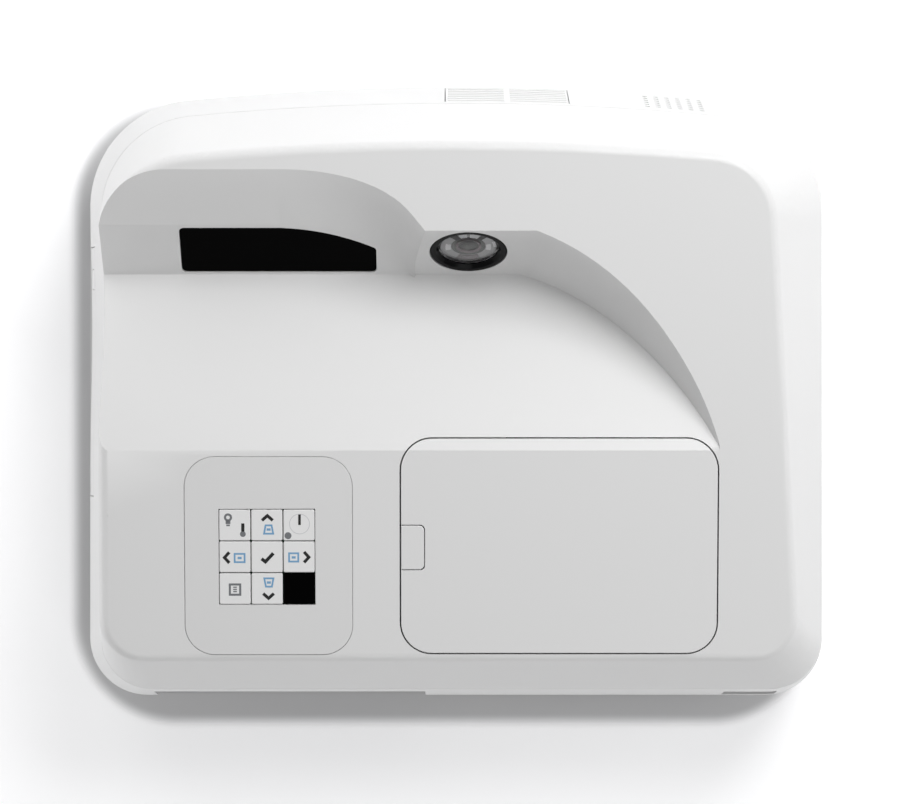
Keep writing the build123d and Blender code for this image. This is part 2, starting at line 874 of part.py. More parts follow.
with BuildPart() as top_cover:
    add(cover_skin.part)
    add(cover_hollow.part, mode=Mode.SUBTRACT)
    add(cover_bosses.part)
    posts(screw_spots, screw_radius + 0.05, seam_z - 1, screw_top_z + 0.5, Mode.SUBTRACT)
    with BuildSketch(deck.offset(-panel_thickness)) as panel_pocket:
        with Locations((panel_x, panel_v)):
            pocket_width = panel_width + 2 * panel_gap
            pocket_depth = panel_depth + 2 * panel_gap
            RectangleRounded(pocket_width, pocket_depth, panel_corner + panel_gap)
    extrude(panel_pocket.sketch, amount=6, mode=Mode.SUBTRACT)
    with BuildSketch(deck.offset(-case_wall - 1)) as key_hole:
        with Locations((key_grid_x, key_row_v)):
            Rectangle(key_window, key_window)
    extrude(key_hole.sketch, amount=8, mode=Mode.SUBTRACT)
    door_v = on(deck, 0, (door_front_y + door_rear_y) / 2)[1]
    door_span = on(deck, 0, door_rear_y)[1] - on(deck, 0, door_front_y)[1]
    with BuildSketch(deck.offset(-case_wall - 4)) as door_hole:
        with Locations(((door_left_x + door_right_x) / 2, door_v)):
            RectangleRounded(
                door_right_x - door_left_x + 2 * door_gap, door_span + 2 * door_gap, door_corner + door_gap
            )
    extrude(door_hole.sketch, amount=12, mode=Mode.SUBTRACT)
    extrude(window_outline(-press_clearance), amount=3, mode=Mode.SUBTRACT)
    extrude(window_outline(-press_clearance), amount=-6, mode=Mode.SUBTRACT)
    camera_spot = (camera_x, camera_height)
    rod(camera_plane.offset(-8), camera_spot, bezel_radius + press_clearance, 11, Mode.SUBTRACT)
keep(top_cover, "top_cover")

# ---------------------------------------------------------------- keypad
tile_corner = 0.8
switch_side = 6.0


def tile_spot(column, row):
    """Middle of a tile, in the deck's coordinates."""
    return (key_grid_x + column * key_pitch, key_row_v + row * key_pitch)


def tile(column, row, depth):
    """A keypad tile flush with the deck, on a round stem that reaches down to depth."""
    spot = tile_spot(column, row)
    side = key_pitch - key_gap
    with BuildPart() as piece:
        with BuildSketch(deck.offset(-key_thickness)) as face:
            with Locations(spot):
                RectangleRounded(side, side, tile_corner)
        extrude(face.sketch, amount=key_thickness)
        chamfer(piece.faces().sort_by(Axis.Z)[-1].edges(), key_edge)
        rod(deck.offset(-depth), spot, key_stem_radius, depth - key_thickness + 0.5)
    return piece


key_places = {
    "key_up": (0, 1),
    "key_power": (1, 1),
    "key_left": (-1, 0),
    "key_enter": (0, 0),
    "key_right": (1, 0),
    "key_menu": (-1, -1),
    "key_down": (0, -1),
}
for name, (column, row) in key_places.items():
    keep(tile(column, row, key_stem_depth), name)
keep(tile(-1, 1, board_drop), "indicator_tile")
keep(tile(1, -1, board_drop), "infrared_window")

with BuildPart() as keypad_panel:
    with BuildSketch(deck.offset(-panel_thickness)) as plate:
        with Locations((panel_x, panel_v)):
            RectangleRounded(panel_width, panel_depth, panel_corner)
        with Locations((key_grid_x, key_row_v)):
            Rectangle(key_window, key_window, mode=Mode.SUBTRACT)
    extrude(plate.sketch, amount=panel_thickness)
keep(keypad_panel, "keypad_panel")

with BuildPart() as keypad_board:
    with BuildSketch(deck.offset(-board_drop - board_thickness)) as plate:
        with Locations((key_grid_x, key_row_v)):
            Rectangle(keypad_board_side, keypad_board_side)
    extrude(plate.sketch, amount=board_thickness)
    with BuildSketch(deck.offset(-board_drop)) as switches:
        with Locations(*[tile_spot(column, row) for column, row in key_places.values()]):
            Rectangle(switch_side, switch_side)
    extrude(switches.sketch, amount=switch_height)
keep(keypad_board, "keypad_board")

# ---------------------------------------------------------------- projection window
with BuildPart() as projection_window:
    extrude(window_outline(0), amount=-window_sink - window_thickness)
    extrude(window_outline(-1), amount=-window_sink, mode=Mode.SUBTRACT)
keep(projection_window, "projection_window")

with BuildPart() as window_gasket:
    extrude(window_outline(-gasket_lip), amount=-case_wall - gasket_thickness)
    extrude(window_outline(-gasket_lip - 1), amount=-case_wall, mode=Mode.SUBTRACT)
    extrude(window_outline(gasket_lip), amount=-case_wall - 2 * gasket_thickness, mode=Mode.SUBTRACT)
keep(window_gasket, "window_gasket")

# ---------------------------------------------------------------- camera
camera = placed(camera_plane, camera_x, camera_height)
bezel_bore = lens_radius + 0.05
with BuildPart() as camera_bezel:
    turned(
        camera,
        [
            (bezel_bore, -bezel_depth),
            (bezel_radius, -bezel_depth),
            (bezel_radius, bezel_stand - 0.5),
            (bezel_radius - 0.7, bezel_stand),
            (bezel_bore + 1.8, bezel_stand),
            (bezel_bore, -1.2),
        ],
    )
keep(camera_bezel, "camera_bezel")

dome_radius = (lens_radius**2 + lens_rise**2) / (2 * lens_rise)
with BuildPart() as camera_lens:
    rod(camera.offset(-bezel_depth), (0, 0), lens_radius, bezel_depth + lens_rise)
    with Locations(placed(camera, 0, 0, lens_rise - lens_sink - dome_radius).location):
        Sphere(dome_radius, mode=Mode.INTERSECT)
keep(camera_lens, "camera_lens")

with BuildPart() as camera_barrel:
    turned(
        camera.offset(-bezel_depth),
        [
            (0, 0),
            (bezel_radius - 3, 0),
            (bezel_radius - 3, -1.6),
            (barrel_radius, -1.6),
            (barrel_radius, -barrel_length),
            (0, -barrel_length),
        ],
    )
keep(camera_barrel, "camera_barrel")

# ---------------------------------------------------------------- lamp door and latch
door_middle = ((door_left_x + door_right_x) / 2, door_v)


def notch(gap):
    """The latch's place in the door's left edge, as a sketch on the deck, drawn in by gap."""
    with BuildSketch(Plane.XY) as place:
        left = door_left_x - (1.0 if gap == 0 else 0.0)
        right = door_left_x + latch_width - gap
        with Locations(((left + right) / 2, latch_v)):
            Rectangle(right - left, latch_length - 2 * gap)
        fillet(place.vertices().group_by(Axis.X)[-1], latch_corner)
    return deck.from_local_coords(place.sketch)


def goose_arm(v):
    """Curved arm that carries the door round the edge of its opening, from plate to pin."""
    inner = sqrt((hinge_offset - door_gap) ** 2 + hinge_drop**2) + arm_clearance
    outer = inner + arm_section
    sweep_start, sweep = 168.0, 111.0
    with BuildSketch(arm_plane(v)) as arm:
        with BuildLine():
            rim = CenterArc((0, 0), outer, sweep_start, sweep)
            core = CenterArc((0, 0), inner, sweep_start, sweep)
            Line(rim @ 0, core @ 0)
            Line(rim @ 1, core @ 1)
        make_face()
        with Locations((arm_section / 2, -inner / 2 - 0.5)):
            Rectangle(arm_section, inner + 1.0)
        Circle(hinge_boss_radius)
        Circle(hinge_pin_radius + hinge_clearance, mode=Mode.SUBTRACT)
    extrude(arm.sketch, amount=arm_thickness / 2, both=True)


with BuildPart() as lamp_door:
    under_deck = deck.offset(-door_thickness)
    under_floor = scoop_floor.offset(-door_thickness)
    near_y = door_front_y - 5
    far_y = door_rear_y + 5
    with BuildSketch(Plane.YZ.offset(door_left_x - 1)) as bent:
        with BuildLine():
            Polyline(
                (near_y, height_on(deck, near_y)),
                (fold_y, fold_z),
                (far_y, height_on(scoop_floor, far_y)),
                (far_y, height_on(under_floor, far_y)),
                (fold_y, height_on(under_deck, fold_y)),
                (near_y, height_on(under_deck, near_y)),
                close=True,
            )
        make_face()
    extrude(bent.sketch, amount=door_right_x - door_left_x + 2)
    with BuildSketch(deck) as door_edge:
        with Locations(door_middle):
            RectangleRounded(door_right_x - door_left_x, door_span, door_corner)
    extrude(door_edge.sketch, amount=12, both=True, mode=Mode.INTERSECT)
    rib_length = door_right_x - door_left_x - 2 * door_rib_margin_x
    rib_reach = door_span - 2 * door_rib_margin_y
    with BuildSketch(deck.offset(-door_thickness - door_rib_depth)) as ribs:
        with Locations((door_middle[0] - 2, door_v - 4)):
            with GridLocations(0, rib_reach / 2, 1, 3):
                Rectangle(rib_length, door_rib)
            with GridLocations(rib_length / 3, 0, 4, 1):
                Rectangle(door_rib, rib_reach)
    extrude(ribs.sketch, amount=door_rib_depth + 0.5)
    extrude(notch(0), amount=8, both=True, mode=Mode.SUBTRACT)
    for side in (-1, 1):
        ear_v = latch_v + side * (latch_length + latch_ear) / 2
        ear_drop = latch_axis_drop + latch_ear_width / 2
        with BuildSketch(deck.offset(-ear_drop)) as ear:
            with Locations((latch_axis_x, ear_v)):
                Rectangle(latch_ear_width, latch_ear)
        extrude(ear.sketch, amount=ear_drop - door_thickness + 0.5)
    latch_middle = deck.from_local_coords((latch_axis_x, latch_v, -latch_axis_drop))
    latch_hole = Plane(origin=latch_middle, x_dir=(1, 0, 0), z_dir=deck.y_dir)
    with BuildSketch(latch_hole) as pin_hole:
        Circle(latch_pin_radius + latch_pin_clearance)
    extrude(pin_hole.sketch, amount=latch_length, both=True, mode=Mode.SUBTRACT)
    for v in arm_vs:
        goose_arm(v)
keep(lamp_door, "lamp_door")

with BuildPart() as door_latch:
    extrude(notch(latch_gap), amount=-door_thickness)
    chamfer(door_latch.faces().sort_by(Axis.Z)[-1].edges(), 0.3)
    web_drop = latch_axis_drop + latch_web / 2
    with BuildSketch(deck.offset(-web_drop)) as web:
        with Locations((latch_axis_x, latch_v)):
            Rectangle(latch_web, latch_length - 2 * latch_gap - 3.0)
    extrude(web.sketch, amount=web_drop - door_thickness + 0.5)
    with BuildSketch(deck.offset(-latch_leg_depth)) as leg:
        with Locations((door_left_x + 1.3, latch_v)):
            Rectangle(latch_leg, latch_leg_width)
    extrude(leg.sketch, amount=latch_leg_depth - door_thickness + 0.5)
    nose_left = catch_right + catch_gap
    nose_right = door_left_x + 1.0
    with BuildSketch(deck.offset(-latch_leg_depth)) as nose:
        with Locations(((nose_left + nose_right) / 2, latch_v)):
            Rectangle(nose_right - nose_left, latch_leg_width)
    extrude(nose.sketch, amount=latch_leg)
    with BuildSketch(latch_hole) as pin:
        Circle(latch_pin_radius)
    extrude(pin.sketch, amount=latch_length / 2 + latch_ear - 0.3, both=True)
keep(door_latch, "door_latch")

with BuildPart() as hinge_pins:
    for v, side in zip(arm_vs, ear_sides):
        pin_start = Plane(
            origin=deck.from_local_coords((hinge_x, v - side * arm_thickness / 2, -hinge_drop)),
            x_dir=(1, 0, 0),
            z_dir=deck.y_dir * side,
        )
        rod(pin_start, (0, 0), hinge_pin_radius, arm_thickness + side_clearance + ear_thickness)
keep(hinge_pins, "hinge_pins")

# ---------------------------------------------------------------- lamp
duct_width = 52.0          # of the bay's opening towards the exhaust fan
duct_bottom_z = 32.0
duct_top_z = 74.0
with BuildPart() as lamp_bay:
    block(
        lamp_bay_left_x, lamp_bay_right_x, lamp_bay_front_y, lamp_bay_rear_y,
        deck_of_boards_z, lamp_bay_top_z,
    )
    block(
        lamp_bay_left_x + sheet, lamp_bay_right_x - sheet,
        lamp_bay_front_y + sheet, lamp_bay_rear_y - sheet,
        deck_of_boards_z + sheet, lamp_bay_top_z + 1, Mode.SUBTRACT,
    )
    rod(Plane.YZ.offset(lamp_bay_left_x - 1), (light_y, light_z), light_port_radius, 4, Mode.SUBTRACT)
    block(
        lamp_bay_right_x - 4, lamp_bay_right_x + 1,
        exhaust_fan_y - duct_width / 2, exhaust_fan_y + duct_width / 2,
        duct_bottom_z, duct_top_z, Mode.SUBTRACT,
    )
keep(lamp_bay, "lamp_bay")

lamp_left_x = lamp_bay_left_x + 22
lamp_right_x = lamp_left_x + lamp_length
grip_thickness, grip_width, grip_height = lamp_grip
with BuildPart() as lamp_module:
    block(
        lamp_left_x, lamp_right_x, light_y - lamp_half, light_y + lamp_half,
        deck_of_boards_z + sheet, lamp_top_z,
    )
    fillet(lamp_module.edges().filter_by(Axis.Z), lamp_corner)
    rod(
        Plane.YZ.offset(lamp_left_x - 1), (light_y, light_z),
        reflector_radius + 0.4, reflector_length + 8, Mode.SUBTRACT,
    )
    grip_x = lamp_left_x + 24
    block(
        grip_x, grip_x + grip_thickness, light_y - grip_width / 2, light_y + grip_width / 2,
        lamp_top_z - 1, lamp_top_z + grip_height,
    )
keep(lamp_module, "lamp_module")

bowl_middle = (lamp_left_x + reflector_length + 7, light_y, light_z)
bowl_inside = reflector_radius - reflector_wall
with BuildPart() as lamp_reflector:
    with BuildSketch(Plane(origin=bowl_middle, x_dir=(0, 1, 0), z_dir=(0, 0, 1))) as half:
        with BuildLine():
            Spline(
                (burner_radius, reflector_wall + 0.4),
                (13.0, 10.0),
                (bowl_inside, reflector_length),
                tangents=[(1, 0.4), (0.15, 1)],
            )
            Line((bowl_inside, reflector_length), (reflector_radius, reflector_length))
            Spline(
                (reflector_radius, reflector_length),
                (13.0 + reflector_wall, 9.0),
                (burner_radius, 0.0),
                tangents=[(-0.15, -1), (-1, -0.4)],
            )
            Line((burner_radius, 0.0), (burner_radius, reflector_wall + 0.4))
        make_face()
    revolve(half.sketch, axis=Axis(bowl_middle, (-1, 0, 0)))
keep(lamp_reflector, "lamp_reflector")

choke_length = 26.0
choke_height = 13.0
can_radius = 6.0
can_height = 12.0
parts_z = deck_of_boards_z + board_thickness
with BuildPart() as ballast:
    block(ballast_left_x, ballast_right_x, ballast_front_y, ballast_rear_y, deck_of_boards_z, parts_z)
    block(
        ballast_left_x + 12, ballast_left_x + 12 + choke_length, ballast_front_y + 3, ballast_rear_y - 3,
        parts_z, parts_z + choke_height,
    )
    can_y = (ballast_front_y + ballast_rear_y) / 2
    for can_x in (ballast_right_x - 16, ballast_right_x - 30):
        rod(Plane.XY.offset(parts_z), (can_x, can_y), can_radius, can_height)
keep(ballast, "ballast")

# ---------------------------------------------------------------- light engine
engine_plate = 3.0
port_length = 10.0
port_wall = 2.5
port_side = light_port_radius + 3
with BuildPart() as light_engine:
    block(
        engine_left_x, engine_right_x, engine_front_y, engine_rear_y,
        engine_bottom_z, engine_bottom_z + engine_plate,
    )
    with BuildSketch(Plane.XY.offset(engine_bottom_z + engine_plate)) as plan:
        with BuildLine():
            Polyline(
                (engine_left_x, engine_rear_y),
                (engine_left_x, engine_rear_y - 36),
                (engine_left_x + 16, engine_front_y + 4),
                (engine_right_x - 44, engine_front_y + 4),
                (engine_right_x - 30, light_y - port_side),
                (engine_right_x, light_y - port_side),
                (engine_right_x, light_y + port_side),
                (engine_right_x - 34, light_y + port_side),
                (engine_right_x - 42, engine_rear_y),
                close=True,
            )
        make_face()
    extrude(plan.sketch, amount=engine_top_z - engine_bottom_z - engine_plate)
    port = Plane.YZ.offset(engine_right_x)
    rod(port.offset(-1), (light_y, light_z), light_port_radius, port_length + 1)
    rod(port, (light_y, light_z), light_port_radius - port_wall, port_length, Mode.SUBTRACT)
keep(light_engine, "light_engine")

sink_base = 3.0
sink_fin_length = 18.0
sink_fin = 1.2
sink_fins = 8
sink_width = 32.0
sink_low_z = engine_bottom_z + 4
sink_high_z = engine_top_z - 2
with BuildPart() as engine_heat_sink:
    sink_rear = engine_rear_y - 2
    sink_front = sink_rear - sink_width
    block(engine_left_x - sink_base, engine_left_x, sink_front, sink_rear, sink_low_z, sink_high_z)
    fin_middle = engine_left_x - sink_base - sink_fin_length / 2 + 1.0
    with BuildSketch(Plane.XY.offset(sink_low_z)) as fins:
        with Locations((fin_middle, (sink_front + sink_rear) / 2)):
            with GridLocations(0, (sink_width - sink_fin) / (sink_fins - 1), 1, sink_fins):
                Rectangle(sink_fin_length, sink_fin)
    extrude(fins.sketch, amount=sink_high_z - sink_low_z)
keep(engine_heat_sink, "engine_heat_sink")

wheel_y = light_y - wheel_radius + 2
wheel_frame = Plane(origin=(wheel_x, wheel_y, light_z), x_dir=(0, 1, 0), z_dir=(1, 0, 0))
wheel_shaft_radius = 1.5
wheel_boss_radius = 6.5
wheel_boss = 5.2           # thickness of the wheel's boss
motor_radius = 9.0
motor_length = 7.5
bracket_thickness = 2.0
bracket_half = 8.0
with BuildPart() as colour_wheel:
    rod(wheel_frame.offset(-wheel_thickness / 2), (0, 0), wheel_radius, wheel_thickness)
    rod(wheel_frame.offset(-wheel_boss / 2), (0, 0), wheel_boss_radius, wheel_boss)
    rod(wheel_frame.offset(-3), (0, 0), wheel_shaft_radius + 0.05, 6, Mode.SUBTRACT)
keep(colour_wheel, "colour_wheel")

with BuildPart() as wheel_motor:
    motor_face = wheel_boss / 2 + side_clearance
    rod(wheel_frame.offset(-motor_face - motor_length), (0, 0), motor_radius, motor_length)
    rod(wheel_frame.offset(-motor_face - 0.6), (0, 0), wheel_shaft_radius, motor_face + 3.1)
    bracket_x = wheel_x - motor_face - motor_length
    bracket_front = wheel_y - bracket_half
    bracket_rear = wheel_y + bracket_half
    block(bracket_x - bracket_thickness, bracket_x, bracket_front, bracket_rear, floor_z, light_z + 10)
    block(bracket_x - 10, bracket_x, bracket_front, bracket_rear, floor_z, floor_z + bracket_thickness)
keep(wheel_motor, "wheel_motor")

# ---------------------------------------------------------------- projection lens
lens_frame = Plane(origin=(lens_x, engine_rear_y, lens_z), x_dir=(1, 0, 0), z_dir=(0, 1, 0))
ring_start = 28.0
ring_seat_radius = 12.5
lens_flange_radius = 18.5
lens_flange = 4.0
front_cell_radius = 16.0
front_cell_length = 16.0
with BuildPart() as projection_lens:
    turned(
        lens_frame,
        [
            (0, 0),
            (lens_flange_radius, 0),
            (lens_flange_radius, lens_flange),
            (lens_tube_radius, lens_flange),
            (lens_tube_radius, ring_start - side_clearance),
            (ring_seat_radius, ring_start - side_clearance),
            (ring_seat_radius, ring_start + focus_ring_width + side_clearance),
            (lens_tube_radius, ring_start + focus_ring_width + side_clearance),
            (lens_tube_radius, lens_length - front_cell_length - 6),
            (front_cell_radius, lens_length - front_cell_length),
            (front_cell_radius, lens_length),
            (front_cell_radius - 2, lens_length),
            (front_cell_radius - 3, lens_length - 2.5),
            (8.0, lens_length - 0.6),
            (0, lens_length),
        ],
    )
keep(projection_lens, "projection_lens")

lever_length = 18.0
lever_width = 6.0
lever_thickness = 3.0
with BuildPart() as focus_ring:
    turned(
        lens_frame.offset(ring_start),
        [
            (ring_seat_radius + 0.05, 0),
            (focus_ring_radius, 0),
            (focus_ring_radius, focus_ring_width),
            (ring_seat_radius + 0.05, focus_ring_width),
        ],
    )
    lever_y = engine_rear_y + ring_start + focus_ring_width / 2
    lever_x = lens_x - focus_ring_radius
    block(
        lever_x - lever_length, lever_x + 1, lever_y - lever_width / 2, lever_y + lever_width / 2,
        lens_z - lever_thickness / 2, lens_z + lever_thickness / 2,
    )
keep(focus_ring, "focus_ring")

# ---------------------------------------------------------------- concave mirror
mirror_x = lens_x
mirror_back_y = mirror_front_y + mirror_depth
mirror_top_z = mirror_bottom_z + mirror_height
mirror_web = 5.0           # least glass behind the hollow
with BuildPart() as concave_mirror:
    block(
        mirror_x - mirror_width / 2, mirror_x + mirror_width / 2,
        mirror_front_y, mirror_back_y, mirror_bottom_z, mirror_top_z,
    )
    with Locations((mirror_x, mirror_back_y - mirror_web - mirror_radius, light_z + 22)):
        Sphere(mirror_radius, mode=Mode.SUBTRACT)
keep(concave_mirror, "concave_mirror")

frame_leg = 12.0
frame_margin = 2.0
frame_ledge = 3.0
frame_leg_inset = 18.0
with BuildPart() as mirror_frame:
    frame_left = mirror_x - mirror_width / 2 - frame_margin
    frame_right = mirror_x + mirror_width / 2 + frame_margin
    ledge_front_y = mirror_front_y + 2
    frame_rear_y = mirror_back_y + mirror_frame_depth
    ledge_z = mirror_bottom_z - frame_ledge
    block(frame_left, frame_right, mirror_back_y, frame_rear_y, ledge_z, mirror_top_z + 1)
    block(frame_left, frame_right, ledge_front_y, mirror_back_y + 1, ledge_z, mirror_bottom_z)
    for leg_x in (frame_left + frame_leg_inset, frame_right - frame_leg_inset - frame_leg):
        block(leg_x, leg_x + frame_leg, ledge_front_y, frame_rear_y, floor_z, ledge_z + 1)
keep(mirror_frame, "mirror_frame")

# ---------------------------------------------------------------- boards and connectors
# Middle, side and height of each large part on the main board.
chips = [
    (main_left_x + 24.0, main_front_y + 58.0, 14.0, 2.0),
    (main_left_x + 62.0, main_front_y + 46.0, 24.0, 9.0),
    (main_right_x - 42.0, main_front_y + 50.0, 17.0, 2.4),
    (main_right_x - 18.0, main_front_y + 54.0, 12.0, 6.0),
]
with BuildPart() as main_board:
    block(main_left_x, main_right_x, main_front_y, main_rear_y, deck_of_boards_z, parts_z)
    posts(engine_posts[:2], post_radius + 2.5, deck_of_boards_z - 1, parts_z + 1, Mode.SUBTRACT)
    posts(foot_spots[:1], foot_boss_radius + 1.0, deck_of_boards_z - 1, parts_z + 1, Mode.SUBTRACT)
    for x, y, side, height in chips:
        block(x - side / 2, x + side / 2, y - side / 2, y + side / 2, parts_z, parts_z + height)
keep(main_board, "main_board")

io_panel_y = front_y + io_panel_setback
io_panel_rear_y = io_panel_y + io_panel_thickness
socket_front_y = io_panel_y - socket_stand
socket_rear_y = socket_front_y + socket_length


def socket_block(socket, grow, y0, y1, mode=Mode.ADD):
    """A socket's own box between two depths, grown by grow on its four sides."""
    along, width, height = socket
    middle = io_left_x + along
    block(
        middle - width / 2 - grow, middle + width / 2 + grow, y0, y1,
        parts_z - grow, parts_z + height + grow, mode,
    )


with BuildPart() as io_connectors:
    for socket in sockets:
        socket_block(socket, 0, socket_front_y, socket_rear_y)
        socket_block(socket, -socket_wall, socket_front_y - 1, socket_front_y + socket_depth, Mode.SUBTRACT)
keep(io_connectors, "io_connectors")

with BuildPart() as io_panel:
    block(io_left_x - 3, io_right_x + 3, io_panel_y, io_panel_rear_y, floor_z + 3, io_top_z + 3)
    for socket in sockets:
        socket_block(socket, side_clearance, io_panel_y - 1, io_panel_rear_y + 1, Mode.SUBTRACT)
keep(io_panel, "io_panel")


def inlet_block(grow, y0, y1, mode=Mode.ADD):
    """The power inlet's outline between two depths, grown by grow on its four sides."""
    half_width = inlet_width / 2 + grow
    half_height = inlet_height / 2 + grow
    block(
        inlet_x - half_width, inlet_x + half_width, y0, y1,
        inlet_z - half_height, inlet_z + half_height, mode,
    )


inlet_face_y = front_y + 4.0
inlet_floor_y = inlet_face_y + socket_depth
inlet_pins = [(inlet_x - inlet_pin_spread, -2.0), (inlet_x + inlet_pin_spread, -2.0), (inlet_x, 2.0)]
with BuildPart() as power_inlet:
    inlet_block(0, inlet_face_y, inlet_face_y + inlet_depth)
    fillet(power_inlet.edges().filter_by(Axis.Y), inlet_wall)
    inlet_block(-inlet_wall, inlet_face_y - 1, inlet_floor_y, Mode.SUBTRACT)
    for pin_x, rise in inlet_pins:
        pin_z = inlet_z + rise
        block(pin_x - 1, pin_x + 1, inlet_face_y + 0.4, inlet_floor_y + 1, pin_z - 2, pin_z + 2)
keep(power_inlet, "power_inlet")

sink_sheet = 3.0
sink_height = 28.0
capacitor_radius = 9.0
capacitor_height = 30.0
with BuildPart() as power_supply:
    block(supply_left_x, supply_right_x, supply_front_y, supply_rear_y, deck_of_boards_z, parts_z)
    transformer_x = supply_left_x + 46
    transformer_y = supply_front_y + 30
    block(transformer_x, transformer_x + 36, transformer_y, transformer_y + 32, parts_z, parts_z + 26)
    for sink_x in (supply_right_x - 12, supply_left_x + 30):
        block(
            sink_x, sink_x + sink_sheet, supply_front_y + 12, supply_rear_y - 14,
            parts_z, parts_z + sink_height,
        )
    top = Plane.XY.offset(parts_z)
    for run in (30, 54):
        rod(top, (supply_left_x + 15, supply_front_y + run), capacitor_radius, capacitor_height)
    rod(top, (supply_right_x - 28, supply_rear_y - 18), capacitor_radius + 2, capacitor_height / 2 - 1)
keep(power_supply, "power_supply")

# ---------------------------------------------------------------- fans
fan_screw_radius = 2.1
fan_screw_inset = 4.5
fan_corner = 3.0
strut_width = 4.0
motor_seat = 2.5
impeller_gap = 0.7         # in front of the impeller
blades = 7
blade_thickness = 1.3
blade_pitch = 38           # degrees
filter_gap = 0.4
filter_thickness = 4.0


def fan_frame(face, depth):
    """Square fan frame that rises from a plane, with the motor's seat at the far side."""
    with BuildPart() as frame:
        with BuildSketch(face) as ring:
            RectangleRounded(fan_side, fan_side, fan_corner)
            Circle(fan_bore_radius, mode=Mode.SUBTRACT)
            screw_step = fan_side - 2 * fan_screw_inset
            with GridLocations(screw_step, screw_step, 2, 2):
                Circle(fan_screw_radius, mode=Mode.SUBTRACT)
        extrude(ring.sketch, amount=depth)
        with BuildSketch(face.offset(depth - motor_seat)) as seat:
            Circle(hub_radius)
            with PolarLocations(0, 2, 45, 180):
                Rectangle(2 * fan_bore_radius + 2, strut_width)
        extrude(seat.sketch, amount=motor_seat)
    return frame


def impeller(face, depth):
    """Bladed wheel that turns in front of the motor's seat."""
    length = depth - motor_seat - 1.0
    base = face.offset(impeller_gap)
    reach = impeller_radius - hub_radius + 4
    with BuildPart() as wheel:
        rod(base, (0, 0), hub_radius - 0.4, length)
        for turn in range(blades):
            around = Plane(base.location * Location((0, 0, length / 2), (0, 0, turn * 360 / blades)))
            root_middle = around.origin + around.x_dir * (hub_radius - 2)
            with BuildSketch(Plane(origin=root_middle, x_dir=around.y_dir, z_dir=around.x_dir)) as section:
                Rectangle(blade_thickness, length - 0.6, rotation=blade_pitch)
            extrude(section.sketch, amount=reach)
        with BuildSketch(base) as sweep:
            Circle(impeller_radius)
        extrude(sweep.sketch, amount=length, mode=Mode.INTERSECT)
    return wheel


fan_middle_z = floor_z + fan_side / 2
exhaust_middle = (exhaust_fan_x, exhaust_fan_y, fan_middle_z)
intake_middle = (intake_fan_x, intake_fan_y, fan_middle_z)
exhaust_face = Plane(origin=exhaust_middle, x_dir=(0, 1, 0), z_dir=(1, 0, 0))
intake_face = Plane(origin=intake_middle, x_dir=(1, 0, 0), z_dir=(0, -1, 0))
keep(fan_frame(exhaust_face, exhaust_fan_depth), "exhaust_fan")
keep(impeller(exhaust_face, exhaust_fan_depth), "exhaust_impeller")
keep(fan_frame(intake_face, intake_fan_depth), "intake_fan")
keep(impeller(intake_face, intake_fan_depth), "intake_impeller")

with BuildPart() as dust_filter:
    filter_y = intake_fan_y + filter_gap
    block(
        intake_fan_x - fan_side / 2, intake_fan_x + fan_side / 2, filter_y, filter_y + filter_thickness,
        grille_low_z - 2, grille_high_z + 2,
    )
keep(dust_filter, "dust_filter")

# ---------------------------------------------------------------- speaker
speaker_face_y = rear_y - 23.0
speaker_half = speaker_radius + speaker_flange
dust_cap_radius = 5.0
with BuildPart() as speaker:
    block(
        speaker_x - speaker_half, speaker_x + speaker_half, speaker_face_y - speaker_depth, speaker_face_y,
        floor_z, speaker_z + speaker_half,
    )
    fillet(speaker.edges().filter_by(Axis.Y).group_by(Axis.Z)[-1], 4.0)
    cone = Plane(origin=(speaker_x, speaker_face_y, speaker_z), x_dir=(1, 0, 0), z_dir=(0, 1, 0))
    turned(
        cone,
        [
            (0, -3.0),
            (dust_cap_radius, -4.0),
            (dust_cap_radius, -6.0),
            (speaker_radius - 3, -1.5),
            (speaker_radius, -1.5),
            (speaker_radius, 1),
            (0, 1),
        ],
        Mode.SUBTRACT,
    )
keep(speaker, "speaker")

# ---------------------------------------------------------------- disc drive
drive_low_y = drive_y - drive_side
drive_high_y = drive_y + drive_side
drive_top_z = drive_bottom_z + drive_height
drive_lid_z = drive_top_z - drive_sheet
chassis_front_x = drive_front_x + 0.6
with BuildPart() as drive_chassis:
    block(chassis_front_x, drive_rear_x, drive_low_y, drive_high_y, drive_bottom_z, drive_lid_z)
    block(
        chassis_front_x - 1, drive_rear_x - drive_sheet,
        drive_low_y + drive_sheet, drive_high_y - drive_sheet,
        drive_bottom_z + drive_sheet, drive_top_z, Mode.SUBTRACT,
    )
keep(drive_chassis, "drive_chassis")

with BuildPart() as drive_cover:
    block(chassis_front_x, drive_rear_x, drive_low_y, drive_high_y, drive_lid_z, drive_top_z)
keep(drive_cover, "drive_cover")

